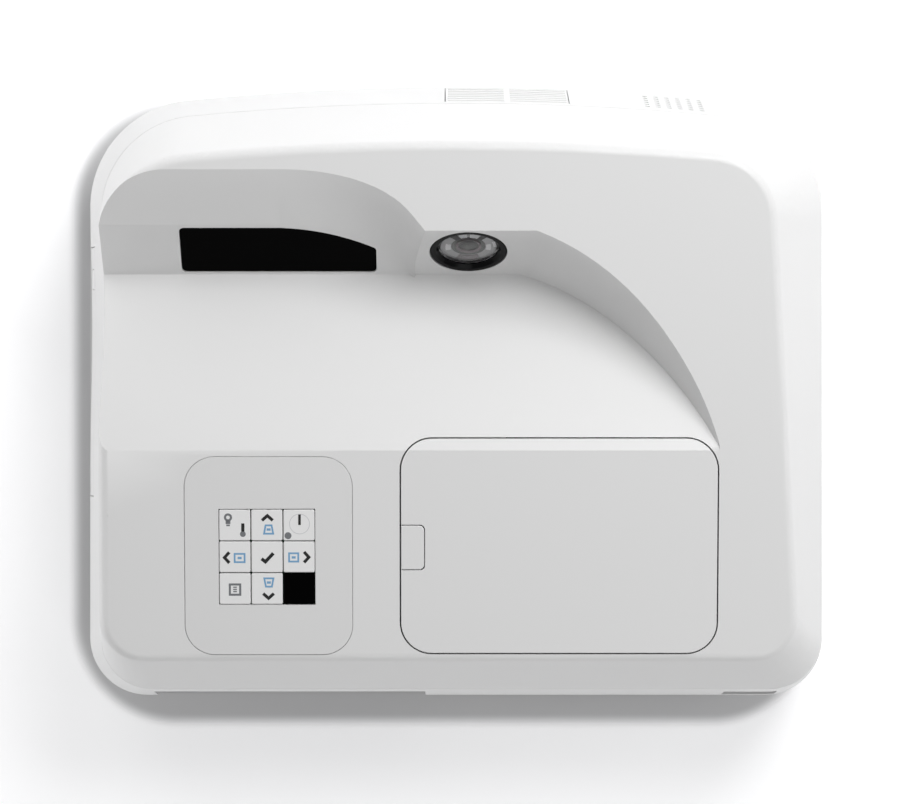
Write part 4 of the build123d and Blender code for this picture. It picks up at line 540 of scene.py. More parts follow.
@dataclass
class Draft:
    """A mesh in the making, in the millimetres of its own drawing.

    Attributes:
        verts: Points.
        faces: Faces as point numbers.
        tints: Material number of each face.
    """

    verts: list[Point] = field(default_factory=list)
    faces: list[list[int]] = field(default_factory=list)
    tints: list[int] = field(default_factory=list)

    def prism(self, outline: list[Spot], low: float, high: float, tint: int = 0) -> None:
        """Adds an upright prism.

        Args:
            outline: Corners, anticlockwise seen from above.
            low: Height of its base.
            high: Height of its top.
            tint: Material number.
        """
        first = len(self.verts)
        count = len(outline)
        self.verts += [(x, y, low) for x, y in outline] + [(x, y, high) for x, y in outline]
        self.faces.append([first + i for i in reversed(range(count))])
        self.faces.append([first + count + i for i in range(count)])
        for i in range(count):
            j = (i + 1) % count
            self.faces.append([first + i, first + j, first + count + j, first + count + i])
        self.tints += [tint] * (count + 2)

    def slab(
        self, x0: float, x1: float, y0: float, y1: float, low: float, high: float, tint: int = 0
    ) -> None:
        """Adds an upright box between six faces, in mm, of the given material number."""
        self.prism([(x0, y0), (x1, y0), (x1, y1), (x0, y1)], low, high, tint)

    def disc(
        self, x: float, y: float, radius: float, low: float, high: float, tint: int = 0, sides: int = 32
    ) -> None:
        """Adds an upright round rod.

        Args:
            x: Middle, as is y.
            y: See x.
            radius: Its radius.
            low: Height of its base.
            high: Height of its top.
            tint: Material number.
            sides: Number of its sides.
        """
        turns = [math.tau * i / sides for i in range(sides)]
        self.prism([(x + radius * math.cos(a), y + radius * math.sin(a)) for a in turns], low, high, tint)

    def turned(self, x: float, y: float, profile: list[Spot], tint: int = 0, sides: int = 64) -> None:
        """Adds a ring or rod turned about an upright axis.

        Args:
            x: The axis's place, as is y.
            y: See x.
            profile: Closed loop of (radius, height), anticlockwise; or an open one from axis to axis.
            tint: Material number.
            sides: Number of steps round the axis.
        """
        first = len(self.verts)
        open_ended = profile[0][0] == 0 and profile[-1][0] == 0
        rings = profile[1:-1] if open_ended else profile
        count = len(rings)
        for i in range(sides):
            a = math.tau * i / sides
            self.verts += [(x + r * math.cos(a), y + r * math.sin(a), h) for r, h in rings]
        steps = count - 1 if open_ended else count
        starts = [(first + i * count, first + (i + 1) % sides * count) for i in range(sides)]
        for here, there in starts:
            for k in range(steps):
                m = (k + 1) % count
                self.faces.append([here + k, there + k, there + m, here + m])
                self.tints.append(tint)
        if open_ended:
            self.verts += [(x, y, profile[0][1]), (x, y, profile[-1][1])]
            low, high = len(self.verts) - 2, len(self.verts) - 1
            for here, there in starts:
                self.faces.append([low, there, here])
                self.faces.append([high, here + count - 1, there + count - 1])
                self.tints += [tint, tint]

    def stroke(
        self,
        line: list[Spot],
        width: float,
        low: float,
        high: float,
        tint: int = 0,
        closed: bool = False,
    ) -> None:
        """Adds a stroke of even width with mitred corners.

        Args:
            line: Points along its middle.
            width: Its width.
            low: Height of its base.
            high: Height of its top.
            tint: Material number.
            closed: Whether its end joins its start.
        """
        spots = [Vector(p) for p in line]
        count = len(spots)
        sides: list[tuple[Vector, Vector]] = []
        for i, here in enumerate(spots):
            ways: list[Vector] = []
            if i > 0 or closed:
                ways.append((here - spots[i - 1]).normalized())
            if i < count - 1 or closed:
                ways.append((spots[(i + 1) % count] - here).normalized())
            normals = [Vector((-way.y, way.x)) for way in ways]
            mitre = sum(normals, Vector((0.0, 0.0))).normalized()
            reach = width / 2 / max(mitre.dot(normals[0]), MITRE_LEAST)
            sides.append((here + mitre * reach, here - mitre * reach))
        last = count if closed else count - 1
        for i in range(last):
            left0, right0 = sides[i]
            left1, right1 = sides[(i + 1) % count]
            self.prism([tuple(right0), tuple(right1), tuple(left1), tuple(left0)], low, high, tint)

    def finished(
        self,
        name: str,
        place: Matrix,
        finishes: list[Finish],
        body: str,
        slot: Slot,
        smooth: float = 0.0,
    ) -> bpy.types.Object:
        """Makes the draft an object in the scene.

        Args:
            name: The piece's name.
            place: Matrix from the drawing to the row frame.
            finishes: Its finishes, by material number.
            body: The CAD body that it rides on.
            slot: Its slot in the record; not used.
            smooth: Angle, in degrees, under which its faces shade as one. 0 keeps them flat.

        Returns:
            The new object.
        """
        mesh = bpy.data.meshes.new(name)
        mesh.from_pydata([place @ Vector(v) for v in self.verts], [], self.faces)
        for finish in finishes:
            mesh.materials.append(finish.material())
        mesh.polygons.foreach_set("material_index", self.tints)
        mesh.validate()
        work = bmesh.new()
        work.from_mesh(mesh)
        bmesh.ops.recalc_face_normals(work, faces=work.faces)
        work.to_mesh(mesh)
        work.free()
        if smooth:
            mesh.shade_smooth()
            mesh.set_sharp_from_angle(angle=math.radians(smooth))
        obj = stand(name, mesh)
        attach(obj, body)
        return obj


def dress(frame: dict, finishes: dict[str, Finish]) -> None:
    """Gives CAD nodes their finishes and leaves their shapes alone.

    Args:
        finishes: The finish of each node, by its name.
    """
    for node, finish in finishes.items():
        mesh = frame["nodes"][node].data
        mesh.materials.clear()
        mesh.materials.append(finish.material())


@dataclass(frozen=True)
class Upper:
    """A second finish for what stands above a height, such as the parts on a board.

    Attributes:
        finish: The finish.
        above_mm: The height in the row frame.
    """

    finish: Finish
    above_mm: float


def refine(
    frame: dict,
    node: str,
    finish: Finish,
    edge_mm: float,
    angle: float = 28.0,
    upper: Upper | None = None,
    clamp: bool = True,
) -> bpy.types.Object:
    """Stands a copy of a CAD node in its place, with its edges rounded as a mould rounds them.

    Args:
        node: The node's name.
        finish: Its finish.
        edge_mm: Width of the rounding.
        angle: Least angle, in degrees, of an edge that is rounded.
        upper: A second finish for its upper part.
        clamp: Whether the shortest edge limits the rounding everywhere.

    Returns:
        The new object.
    """
    source = frame["nodes"][node]
    mesh = bpy.data.meshes.new(f"{node}_skin")
    work = bmesh.new()
    work.from_mesh(source.data)
    bmesh.ops.remove_doubles(work, verts=work.verts, dist=WELD_MM * MM)
    bmesh.ops.dissolve_degenerate(work, edges=work.edges, dist=SLIVER_MM * MM)
    flat = math.radians(FLAT_DEGREES)
    bmesh.ops.dissolve_limit(work, angle_limit=flat, verts=work.verts, edges=work.edges)
    # A flat face with a notched outline can cross itself once its edges are rounded, so it is split.
    bmesh.ops.connect_verts_concave(work, faces=[face for face in work.faces if len(face.verts) > 4])
    work.to_mesh(mesh)
    work.free()
    mesh.materials.clear()
    mesh.materials.append(finish.material())
    mesh.polygons.foreach_set("material_index", [0] * len(mesh.polygons))
    if upper:
        mesh.materials.append(upper.finish.material())
        for face in mesh.polygons:
            face.material_index = int(face.center.z > upper.above_mm * MM)
    mesh.shade_smooth()
    mesh.set_sharp_from_angle(angle=math.radians(angle))
    obj = stand(f"{node}_skin", mesh)
    bevel = obj.modifiers.new("edge", "BEVEL")
    bevel.width = edge_mm * MM
    bevel.segments = 2
    bevel.limit_method = "ANGLE"
    bevel.angle_limit = math.radians(angle)
    bevel.use_clamp_overlap = clamp
    bevel.miter_outer = "MITER_ARC"
    weigh = obj.modifiers.new("weigh", "WEIGHTED_NORMAL")
    weigh.keep_sharp = True
    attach(obj, source["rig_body"])
    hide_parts(node)
    return obj


# ---------------------------------------------------------------- repeated shapes, by Geometry Nodes
class Maker:
    """A Geometry Nodes tree with named sizes, which sets a part on many points as one plain mesh."""

    def __init__(self, name: str, sizes: dict[str, type]) -> None:
        """Starts the tree.

        Args:
            name: The tree's name.
            sizes: Its inputs: float, int or Vector, by name.
        """
        kinds = {float: "NodeSocketFloat", int: "NodeSocketInt", Vector: "NodeSocketVector"}
        self.tree = bpy.data.node_groups.new(name, "GeometryNodeTree")
        for label, kind in sizes.items():
            self.tree.interface.new_socket(label, in_out="INPUT", socket_type=kinds[kind])
        self.tree.interface.new_socket("Material", in_out="INPUT", socket_type="NodeSocketMaterial")
        self.tree.interface.new_socket("Geometry", in_out="OUTPUT", socket_type="NodeSocketGeometry")
        self.given = add_node(self.tree, "NodeGroupInput").outputs

    def close(
        self,
        points: bpy.types.NodeSocket,
        part: bpy.types.NodeSocket,
        turn: bpy.types.NodeSocket | None = None,
    ) -> None:
        """Ends the tree: the part on each point, made real, and given its material.

        Args:
            points: The points.
            part: The part.
            turn: Its rotation on each point, where it is turned.
        """
        links = {"Points": points, "Instance": part}
        if turn is not None:
            links["Rotation"] = turn
        spread = add_node(self.tree, "GeometryNodeInstanceOnPoints", None, links).outputs["Instances"]
        real = add_node(self.tree, "GeometryNodeRealizeInstances", None, {"Geometry": spread}).outputs[0]
        links = {"Geometry": real, "Material": self.given["Material"]}
        painted = add_node(self.tree, "GeometryNodeSetMaterial", None, links)
        add_node(self.tree, "NodeGroupOutput", None, {0: painted.outputs[0]})

    def make(
        self,
        name: str,
        sizes: dict[str, object],
        place: Matrix,
        finish: Finish,
        body: str,
        slot: Slot,
    ) -> bpy.types.Object:
        """Runs the tree once and keeps the result as a plain mesh.

        Args:
            name: The piece's name.
            sizes: Values of the tree's inputs, by name, in mm and whole numbers.
            place: Matrix from the drawing to the row frame.
            finish: The piece's finish.
            body: The CAD body that it rides on.
            slot: Its slot in the record; not used.

        Returns:
            The new object.
        """
        carrier = stand(f"{name}_carrier", bpy.data.meshes.new(f"{name}_carrier"))
        run = carrier.modifiers.new("make", "NODES")
        run.node_group = self.tree
        for item in self.tree.interface.items_tree:
            if item.in_out == "INPUT" and item.name in sizes:
                run[item.identifier] = sizes[item.name]
            elif item.in_out == "INPUT" and item.name == "Material":
                run[item.identifier] = finish.material()
        bpy.context.view_layer.update()
        ready = carrier.evaluated_get(bpy.context.evaluated_depsgraph_get())
        mesh = bpy.data.meshes.new_from_object(ready)
        mesh.name = name
        mesh.transform(place)
        bpy.data.objects.remove(carrier)
        obj = stand(name, mesh)
        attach(obj, body)
        return obj


def rib_ring_maker() -> Maker:
    """Builds the tree for ribs that stand round an axis, such as a grip.

    Returns:
        The tree, with the inputs Radius, Count and Rib.
    """
    maker = Maker("rib_ring", {"Radius": float, "Count": int, "Rib": Vector})
    tree, given = maker.tree, maker.given
    circle = {"Vertices": given["Count"], "Radius": given["Radius"]}
    ring = add_node(tree, "GeometryNodeMeshCircle", None, circle).outputs["Mesh"]
    rib = add_node(tree, "GeometryNodeMeshCube", None, {"Size": given["Rib"]}).outputs["Mesh"]
    outward = add_node(tree, "GeometryNodeInputPosition").outputs["Position"]
    turn = add_node(tree, "FunctionNodeAlignRotationToVector", {"axis": "X"}, {"Vector": outward})
    maker.close(ring, rib, turn.outputs["Rotation"])
    return maker


def pin_row_maker() -> Maker:
    """Builds the tree for a row of round pins, such as a socket's contacts.

    Returns:
        The tree, with the inputs Width, Columns and Pin Length.
    """
    maker = Maker("pin_row", {"Width": float, "Columns": int, "Pin Length": float})
    tree, given = maker.tree, maker.given
    span = {"Size X": given["Width"], "Vertices X": given["Columns"]}
    row = add_node(tree, "GeometryNodeMeshGrid", {"Size Y": 0.0, "Vertices Y": 1}, span).outputs["Mesh"]
    rod = {"Vertices": 8, "Radius": 0.24}
    pin = add_node(tree, "GeometryNodeMeshCylinder", rod, {"Depth": given["Pin Length"]}).outputs["Mesh"]
    maker.close(row, pin)
    return maker


def scatter_maker() -> Maker:
    """Builds the tree for small board components, scattered with a given seed.

    Returns:
        The tree, with the inputs Width, Depth, Spacing, Part and Seed.
    """
    inputs = {"Width": float, "Depth": float, "Spacing": float, "Part": Vector, "Seed": int}
    maker = Maker("board_scatter", inputs)
    tree, given = maker.tree, maker.given
    span = {"Size X": given["Width"], "Size Y": given["Depth"]}
    board = add_node(tree, "GeometryNodeMeshGrid", {"Vertices X": 2, "Vertices Y": 2}, span)
    spots = add_node(
        tree,
        "GeometryNodeDistributePointsOnFaces",
        {"distribute_method": "POISSON", "Density Max": 1.0},
        {"Mesh": board.outputs["Mesh"], "Distance Min": given["Spacing"], "Seed": given["Seed"]},
    )
    # Each part is turned by none to three quarters.
    choice = {"data_type": "INT", 4: 0, 5: 3}
    quarter = add_node(tree, "FunctionNodeRandomValue", choice, {"Seed": given["Seed"]}).outputs[2]
    angle = add_node(tree, "ShaderNodeMath", {"operation": "MULTIPLY", 1: math.pi / 2}, {0: quarter})
    turn = add_node(tree, "ShaderNodeCombineXYZ", None, {"Z": angle.outputs[0]})
    part = add_node(tree, "GeometryNodeMeshCube", None, {"Size": given["Part"]})
    maker.close(spots.outputs["Points"], part.outputs["Mesh"], turn.outputs["Vector"])
    return maker


# ---------------------------------------------------------------- the case
@dataclass
class Case:
    """The two halves of the case, their grilles, the lamp door and its latch, and the keypad's panel.

    Attributes:
        skins: Name, finish and width of the edges' rounding, in mm, of each moulded piece.
        unclamped: The piece whose rounding its shortest edge doesn't limit.
    """

    skins: tuple[tuple[str, Finish, float], ...] = (
        ("top_cover", CASE_ABS, 0.35),
        ("bottom_case", LOWER_ABS, 0.35),
        ("exhaust_grille", LOWER_ABS, 0.25),
        ("filter_cover", LOWER_ABS, 0.25),
        ("lamp_door", CASE_ABS, 0.2),
        ("door_latch", CASE_ABS, 0.2),
        ("keypad_panel", PANEL_ABS, 0.2),
        ("tray_bezel", LOWER_ABS, 0.3),
    )
    unclamped: str = "lamp_door"

    def build(self, frame: dict) -> None:
        """Dresses the case.
        """
        for node, finish, edge_mm in self.skins:
            refine(frame, node, finish, edge_mm, clamp=node != self.unclamped)
        fittings = {
            "hinge_pins": STEEL,
            "window_gasket": RUBBER,
            "case_screws": ZINC,
            "mount_inserts": BRASS,
        }
        dress(frame, fittings)
        LOG.info("case: two halves, door, latch, panel, grilles")


# ---------------------------------------------------------------- the keypad
@dataclass
class Keypad:
    """The nine tiles of the keypad, and the icons printed on them.

    Attributes:
        grid_x: Middle of the keypad, in mm, as is grid_y.
        grid_y: See grid_x.
        pitch: Step from tile to tile.
        ink: Thickness of the printed icons.
        sign_height: Height of the keystone sign beside each arrow.
    """

    grid_x: float = -95.0
    grid_y: float = -83.5
    pitch: float = 16.1
    ink: float = 0.04
    sign_height: float = 4.2

    def spot(self, column: int, row: int) -> Matrix:
        """Gives the place of a tile's face.

        Args:
            column: -1, 0 or 1, from the left.
            row: -1, 0 or 1, from the front.

        Returns:
            Matrix from the tile's drawing to the row frame.
        """
        step = Matrix.Translation((column * self.pitch, row * self.pitch, 0))
        return deck_at(self.grid_x, self.grid_y) @ step

    def print_icon(
        self, name: str, draft: Draft, column: int, row: int, inks: list[Finish], body: str
    ) -> None:
        """Puts an icon on a tile.

        Args:
            name: The icon's name.
            draft: Its mesh.
            column: The tile's column.
            row: The tile's row.
            inks: Its inks, by material number.
            body: The CAD body that it rides on.
        """
        draft.finished(name, self.spot(column, row), inks, body, Slot.KEY)

    def chevron(self, draft: Draft, x: float, y: float, way: Spot) -> None:
        """Draws a bold arrowhead.

        Args:
            draft: The icon's mesh.
            x: Its middle, as is y.
            y: See x.
            way: Unit direction in which it points.
        """
        along, across = Vector(way), Vector((-way[1], way[0]))
        tip = Vector((x, y)) + along * 1.1
        ends = [Vector((x, y)) - along * 1.3 + across * s * 2.7 for s in (-1, 1)]
        draft.stroke([tuple(ends[0]), tuple(tip), tuple(ends[1])], 1.55, 0, self.ink)

    def keystone(self, draft: Draft, x: float, y: float, top: float, bottom: float) -> None:
        """Draws a small keystone outline with a bar in it.

        Args:
            draft: The icon's mesh.
            x: Its middle, as is y.
            y: See x.
            top: Its width at the top.
            bottom: Its width at the bottom.
        """
        outline = trapezium(x, y, bottom / 2, top / 2, self.sign_height / 2)
        draft.stroke(outline, 0.9, 0, self.ink, 1, True)
        draft.slab(x - 1.0, x + 1.0, y - 0.6, y + 0.6, 0, self.ink, 1)

    def draw_arrows(self) -> None:
        """Draws and places the icons of the four arrow keys, each with a keystone sign beside its arrow."""
        for key, column, row, arrow, sign in (
            ("up", 0, 1, (0.3, 3.7), (0.9, -2.2, 3.0, 4.6)),
            ("down", 0, -1, (0.7, -3.7), (0.9, 3.2, 4.6, 3.0)),
            ("left", -1, 0, (-4.1, -0.3), (2.4, -0.5, 5.0, 5.0)),
            ("right", 1, 0, (3.8, -0.1), (-2.7, -0.2, 4.6, 4.6)),
        ):
            draft = Draft()
            self.chevron(draft, *arrow, (column, row))
            self.keystone(draft, *sign)
            self.print_icon(f"icon_{key}", draft, column, row, [BLACK_INK, BLUE_INK], f"key_{key}")

    def draw_signs(self) -> None:
        """Draws and places the icons of the other keys and of the status tile."""
        ink = self.ink

        enter = Draft()
        enter.stroke([(-2.7, -0.9), (-0.8, -2.4), (3.2, 1.9)], 1.7, 0, ink)
        self.print_icon("icon_enter", enter, 0, 0, [BLACK_INK, BLUE_INK], "key_enter")

        menu = Draft()
        menu.stroke([(-2.6, -3.0), (2.6, -3.0), (2.6, 2.2), (-2.6, 2.2)], 1.05, 0, ink, 0, True)
        for rise in (-1.4, -0.3, 0.8):
            menu.slab(-0.9, 0.9, rise - 0.32, rise + 0.32, 0, ink)
        self.print_icon("icon_menu", menu, -1, -1, [GREY_INK], "key_menu")

        power = Draft()
        power.slab(-0.35, 0.95, 0.1, 5.4, 0, ink)
        ring = [(0.3 + x, 0.6 + y) for x, y in arc_of(5.0, 0, 351, 39)]
        power.stroke(ring, 0.35, 0, ink * 0.7, 1, True)
        power.disc(-5.5, -5.3, 1.75, 0, ink, 2)
        self.print_icon("icon_power", power, 1, 1, [BLACK_INK, PALE_INK, GREY_INK], "key_power")

        lights = Draft()
        bulb = [(x - 3.3, y + 3.9) for x, y in arc_of(1.5, 0, 345, 23)]
        lights.stroke(bulb, 1.1, 0, ink, 0, True)
        lights.slab(-4.5, -2.1, 0.6, 2.3, 0, ink, 0)
        lights.slab(-4.2, -2.4, -0.5, 0.3, 0, ink, 0)
        lights.slab(3.3, 4.9, -3.4, 0.9, 0, ink, 1)
        lights.disc(4.1, -4.5, 1.45, 0, ink, 0)
        self.print_icon("icon_lights", lights, -1, 1, [GREY_INK, BLACK_INK], "projector")

    def build(self, frame: dict) -> None:
        """Dresses the tiles and prints their icons.
        """
        for key in ("up", "power", "left", "enter", "right", "menu", "down"):
            refine(frame, f"key_{key}", KEY_ABS, edge_mm=0.15)
        refine(frame, "indicator_tile", KEY_ABS, edge_mm=0.15)
        refine(frame, "infrared_window", INFRARED_PMMA, edge_mm=0.15)
        dress(frame, {"keypad_board": SOLDER_MASK})
        self.draw_arrows()
        self.draw_signs()
        LOG.info("keypad: nine tiles and eight icons")


# ---------------------------------------------------------------- the window and the camera
@dataclass
class Eyes:
    """The projection window and the interactive camera's lens on their sloping walls.

    Attributes:
        camera_spot: Middle of the camera on its wall, in mm.
        camera_tilt: Slope of the camera's wall in degrees.
        dome_radius: Radius of the lens.
        dome_top: Height of its crown over the wall.
        dome_fall: Fall from its crown to its rim.
        dome_wall: Thickness of its glass at the crown.
        ring_floor: Height of the rings' base.
        rings: The stepped rings: outer radius, inner radius and height in mm, material number.
        painted_reflections: Painted highlights, painted dark patches and a painted plum reflection, as
            sectors on the widest ring: start and end in degrees, radii in mm, material number.
    """

    camera_spot: Point = (6.0, 70.1021, 98.0288)
    camera_tilt: float = 61.0
    dome_radius: float = 14.6
    dome_top: float = 1.6
    dome_fall: float = 3.2
    dome_wall: float = 1.2
    ring_floor: float = -5.0
    rings: tuple[tuple[float, float, float, int], ...] = (
        (14.5, 8.6, -3.2, 0),
        (8.5, 6.5, -3.6, 1),
        (6.4, 5.2, -3.3, 2),
    )
    # Pale sectors are painted highlights, black ones painted dark patches, the plum one a painted reflection.
    painted_reflections: tuple[tuple[float, float, float, float, int], ...] = (
        (166, 194, 8.8, 11.4, 3),
        (-14, 14, 8.8, 11.2, 3),
        (2, 22, 12.4, 13.9, 3),
        (62, 86, 8.9, 12.0, 3),
        (94, 114, 8.9, 12.0, 3),
        (118, 134, 8.8, 14.0, 1),
        (46, 58, 8.8, 14.0, 1),
        (240, 300, 8.8, 13.8, 2),
    )

    def build_camera(self) -> None:
        """Builds the camera's dome and the stepped rings behind it, with painted highlights and reflections
        on the rings.
        """
        place = leaning(*self.camera_spot, self.camera_tilt)
        radius = self.dome_radius
        dome = Draft()
        over = [(radius * i / 10, self.dome_top - self.dome_fall * (i / 10) ** 2) for i in range(11)]
        under = [(r * 0.94, h - self.dome_wall) for r, h in over]
        dome.turned(0, 0, under + [(radius, over[-1][1] - self.dome_wall / 2)] + over[::-1])
        skin = dome.finished("camera_dome", place, [CAMERA_GLASS], "projector", Slot.CAMERA, smooth=40)
        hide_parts("camera_lens")
        rings = Draft()
        low = self.ring_floor
        for outside, inside, top, tint in self.rings:
            rings.turned(0, 0, [(inside, low), (outside, low), (outside, top + 0.4), (inside, top)], tint)
        rings.turned(0, 0, [(0.0, low), (5.1, low), (5.1, -4.2), (2.4, -3.6), (0.0, -3.5)], 1)
        # Painted highlights and reflections, laid as sectors on the widest ring.
        for start, end, inner, outer, tint in self.painted_reflections:
            sector = arc_of(outer, start, end, 8) + arc_of(inner, end, start, 8)
            rings.prism(sector, -3.1, -2.65, tint)
        finishes = [IRIS_GREY, IRIS_BLACK, IRIS_PAINTED_PLUM, IRIS_PAINTED_HIGHLIGHT]
        rings.finished("camera_rings", place, finishes, "projector", Slot.CAMERA, smooth=30)

    def build(self, frame: dict) -> None:
        """Dresses the window, the camera's ring and what is behind them.
        """
        refine(frame, "projection_window", WINDOW_GLASS, edge_mm=0.25)
        refine(frame, "camera_bezel", GLOSS_BLACK, edge_mm=0.2)
        dress(frame, {"camera_barrel": MATT_BLACK})
        self.build_camera()
        LOG.info("window and camera")


# ---------------------------------------------------------------- the connectors
class Port(Enum):
    """Kinds of socket in the connector bay."""

    ANALOGUE = "analogue"
    DIGITAL = "digital"
    HOST = "host"
    DEVICE = "device"
    NETWORK = "network"
    AUDIO = "audio"


@dataclass(frozen=True)
class Fitting:
    """What a kind of socket holds, in mm from its middle and its floor, seen from the front.

    Attributes:
        contacts: Number, step, height and length of its contacts.
        blocks: Left, right, low, high, back, front and material number of each plastic block.
        shell: Inset from the mouth's edge, thickness and stand-out of its metal shell.
    """

    contacts: tuple[int, float, float, float]
    blocks: tuple[tuple[float, float, float, float, float, float, int], ...]
    shell: tuple[float, float, float] = (0.2, 0.3, 0.1)


FITTINGS = {
    Port.DIGITAL: Fitting((10, 1.0, -0.82, 5.6), ((-5.2, 5.2, -0.7, 0.5, 0.02, 6.6, 0),)),
    Port.HOST: Fitting((4, 2.3, 0.08, 6.0), ((-5.3, 5.3, 0.2, 2.0, 0.02, 6.8, 2),)),
    Port.DEVICE: Fitting((2, 2.5, 1.7, 6.0), ((-2.8, 2.8, -1.6, 1.6, 0.02, 6.8, 2),)),
    # The block that holds the contacts, the two sides of the latch's step, and the signal lights on them.
    Port.NETWORK: Fitting(
        (8, 1.1, 2.95, 5.8),
        (
            (-5.9, 5.9, 3.2, 5.4, 0.02, 6.8, 0),
            (-6.7, -3.2, -5.4, -3.4, 0.02, 7.6, 0),
            (3.2, 6.7, -5.4, -3.4, 0.02, 7.6, 0),
            (-6.3, -3.9, -5.0, -3.8, 7.6, 7.66, 3),
            (3.9, 6.3, -5.0, -3.8, 7.6, 7.66, 4),
        ),
        (0.15, 0.2, 0.05),
    ),
}


@dataclass(frozen=True)
class Socket:
    """One socket, in mm.

    Attributes:
        name: Its name.
        port: Its kind.
        x: Its middle.
        width: Width of its block.
        height: Height of its block.
        base: Height of the board that it stands on.
        wall: Thickness of the block's wall.
    """

    name: str
    port: Port
    x: float
    width: float
    height: float
    base: float = 25.6
    wall: float = 0.8

    @property
    def z(self) -> float:
        """Height of its middle."""
        return self.base + self.height / 2

    def mouth(self, inset: float) -> list[Spot]:
        """Lists the corners of its mouth.

        Args:
            inset: Distance by which they are drawn in.

        Returns:
            The corners, from the lower left.
        """
        half = self.width / 2 - self.wall - inset
        rise = self.height / 2 - self.wall - inset
        left, right, low, high = self.x - half, self.x + half, self.z - rise, self.z + rise
        return [(left, low), (right, low), (right, high), (left, high)]


@dataclass
class ConnectorBay:
    """Shells, tongues and contacts of the sockets, and the pins of the power inlet.

    Attributes:
        floor_y: Depth of the sockets' floors in the row frame, in mm.
        depth: Depth of the sockets.
        sockets: The sockets, from the left.
        pins: Tree of a row of contacts.
        metal: The metal shells in the making, seen from the front.
        plastic: The plastic inserts in the making, seen from the front.
    """

    floor_y: float = -142.1
    depth: float = 8.0
    sockets: tuple[Socket, ...] = (
        Socket("analogue", Port.ANALOGUE, -137.5, 31.0, 12.5),
        Socket("flat_112", Port.DIGITAL, -112.0, 15.0, 6.2),
        Socket("flat_92", Port.DIGITAL, -92.5, 15.0, 6.2),
        Socket("serial_flat", Port.HOST, -75.0, 14.4, 7.0),
        Socket("serial_square", Port.DEVICE, -59.0, 12.0, 11.0),
        Socket("network", Port.NETWORK, -42.0, 16.0, 13.6),
        Socket("audio", Port.AUDIO, -27.5, 7.5, 7.5),
    )
    pins: Maker = field(default_factory=pin_row_maker)
    metal: Draft = field(default_factory=Draft)
    plastic: Draft = field(default_factory=Draft)

    def front(self, x: float = 0.0, z: float = 0.0, out: float = 0.0) -> Matrix:
        """Gives the matrix from a drawing seen from the front (right, up, out) to the row frame.

        Args:
            x: The drawing's origin along X, in mm, as are z and out.
            z: See x.
            out: Its distance in front of the sockets' floors.

        Returns:
            The matrix.
        """
        return facing(x, self.floor_y - out, z, (0, -1, 0), (1, 0, 0))

    def fit(self, socket: Socket) -> None:
        """Lines a socket with its metal shell and fills it with its plastic blocks and its contacts.

        Args:
            socket: The socket.
        """
        x, z = socket.x, socket.z
        fitting = FITTINGS[socket.port]
        inset, sheet, proud = fitting.shell
        self.metal.stroke(socket.mouth(inset), sheet, 0.05, self.depth + proud, 0, True)
        for left, right, low, high, back, front, tint in fitting.blocks:
            self.plastic.slab(x + left, x + right, z + low, z + high, back, front, tint)
        count, pitch, rise, length = fitting.contacts
        sizes = {"Width": pitch * (count - 1), "Columns": count, "Pin Length": length}
        place = self.front(x, z + rise, length / 2 + 0.3)
        self.pins.make(f"contacts_{socket.name}", sizes, place, GOLD_PIN, "projector", Slot.BRASS)

    def d_shell(self, socket: Socket) -> None:
        """Draws the D-shaped socket with its blue insert, holes and two hexagonal standoffs.

        Args:
            socket: The socket.
        """
        x, z = socket.x, socket.z
        plate, face, nut = 1.2, 6.4, 6.6
        self.metal.prism(socket.mouth(0.05), 0.05, plate)
        self.metal.stroke(trapezium(x, z, 7.2, 8.4, 4.0), 0.5, plate, 7.4, 0, True)
        self.plastic.prism(trapezium(x, z, 6.8, 7.9, 3.6), 1.1, face, 1)
        for row, shift in ((2.0, -0.6), (0.0, 0.6), (-2.0, -0.6)):
            for column in range(-2, 3):
                self.plastic.disc(x + column * 2.4 + shift, z + row, 0.55, face, face + 0.04, 0, 12)
        for nut_x in (x - 12.3, x + 12.3):
            self.metal.disc(nut_x, z, 2.6, plate, nut, 0, 6)
            self.plastic.disc(nut_x, z, 1.3, nut, nut + 0.04, 0, 16)

    def round_jack(self, socket: Socket) -> None:
        """Draws the audio socket: a green ring round a metal sleeve.

        Args:
            socket: The socket.
        """
        ring = [(1.95, 0.02), (2.8, 0.02), (2.8, 8.3), (1.95, 8.3)]
        sleeve = [(1.7, 0.02), (1.94, 0.02), (1.94, 7.9), (1.7, 7.9)]
        self.plastic.turned(socket.x, socket.z, ring, 3, 40)
        self.metal.turned(socket.x, socket.z, sleeve, 0, 32)

    def inlet(self) -> None:
        """Sheathes the power inlet's pins in metal."""
        pins = Draft()
        for x, z in ((145.0, 38.0), (159.0, 38.0), (152.0, 42.0)):
            pins.slab(x - 1.06, x + 1.06, z - 2.06, z + 2.06, 4.9, 12.45)
            pins.slab(x - 0.7, x + 0.7, z - 1.7, z + 1.7, 12.45, 12.75)
        pins.finished("inlet_pins", self.front(), [STEEL], "projector", Slot.STEEL)

    def build(self, frame: dict) -> None:
        """Builds the fittings of all sockets and of the inlet.
        """
        for node in ("io_connectors", "power_inlet"):
            refine(frame, node, MATT_BLACK, edge_mm=0.12)
        dress(frame, {"io_panel": ZINC})
        for socket in self.sockets:
            if socket.port is Port.ANALOGUE:
                self.d_shell(socket)
            elif socket.port is Port.AUDIO:
                self.round_jack(socket)
            else:
                self.fit(socket)
        self.metal.finished("socket_shells", self.front(), [STEEL], "projector", Slot.ZINC)
        tints = [MATT_BLACK, BLUE_SHELL, WHITE_NYLON, GREEN_SHELL, AMBER_LIGHT]
        self.plastic.finished("socket_inserts", self.front(), tints, "projector", Slot.PLASTIC)
        self.inlet()
        LOG.info("connector bay: %d sockets and the power inlet", len(self.sockets))


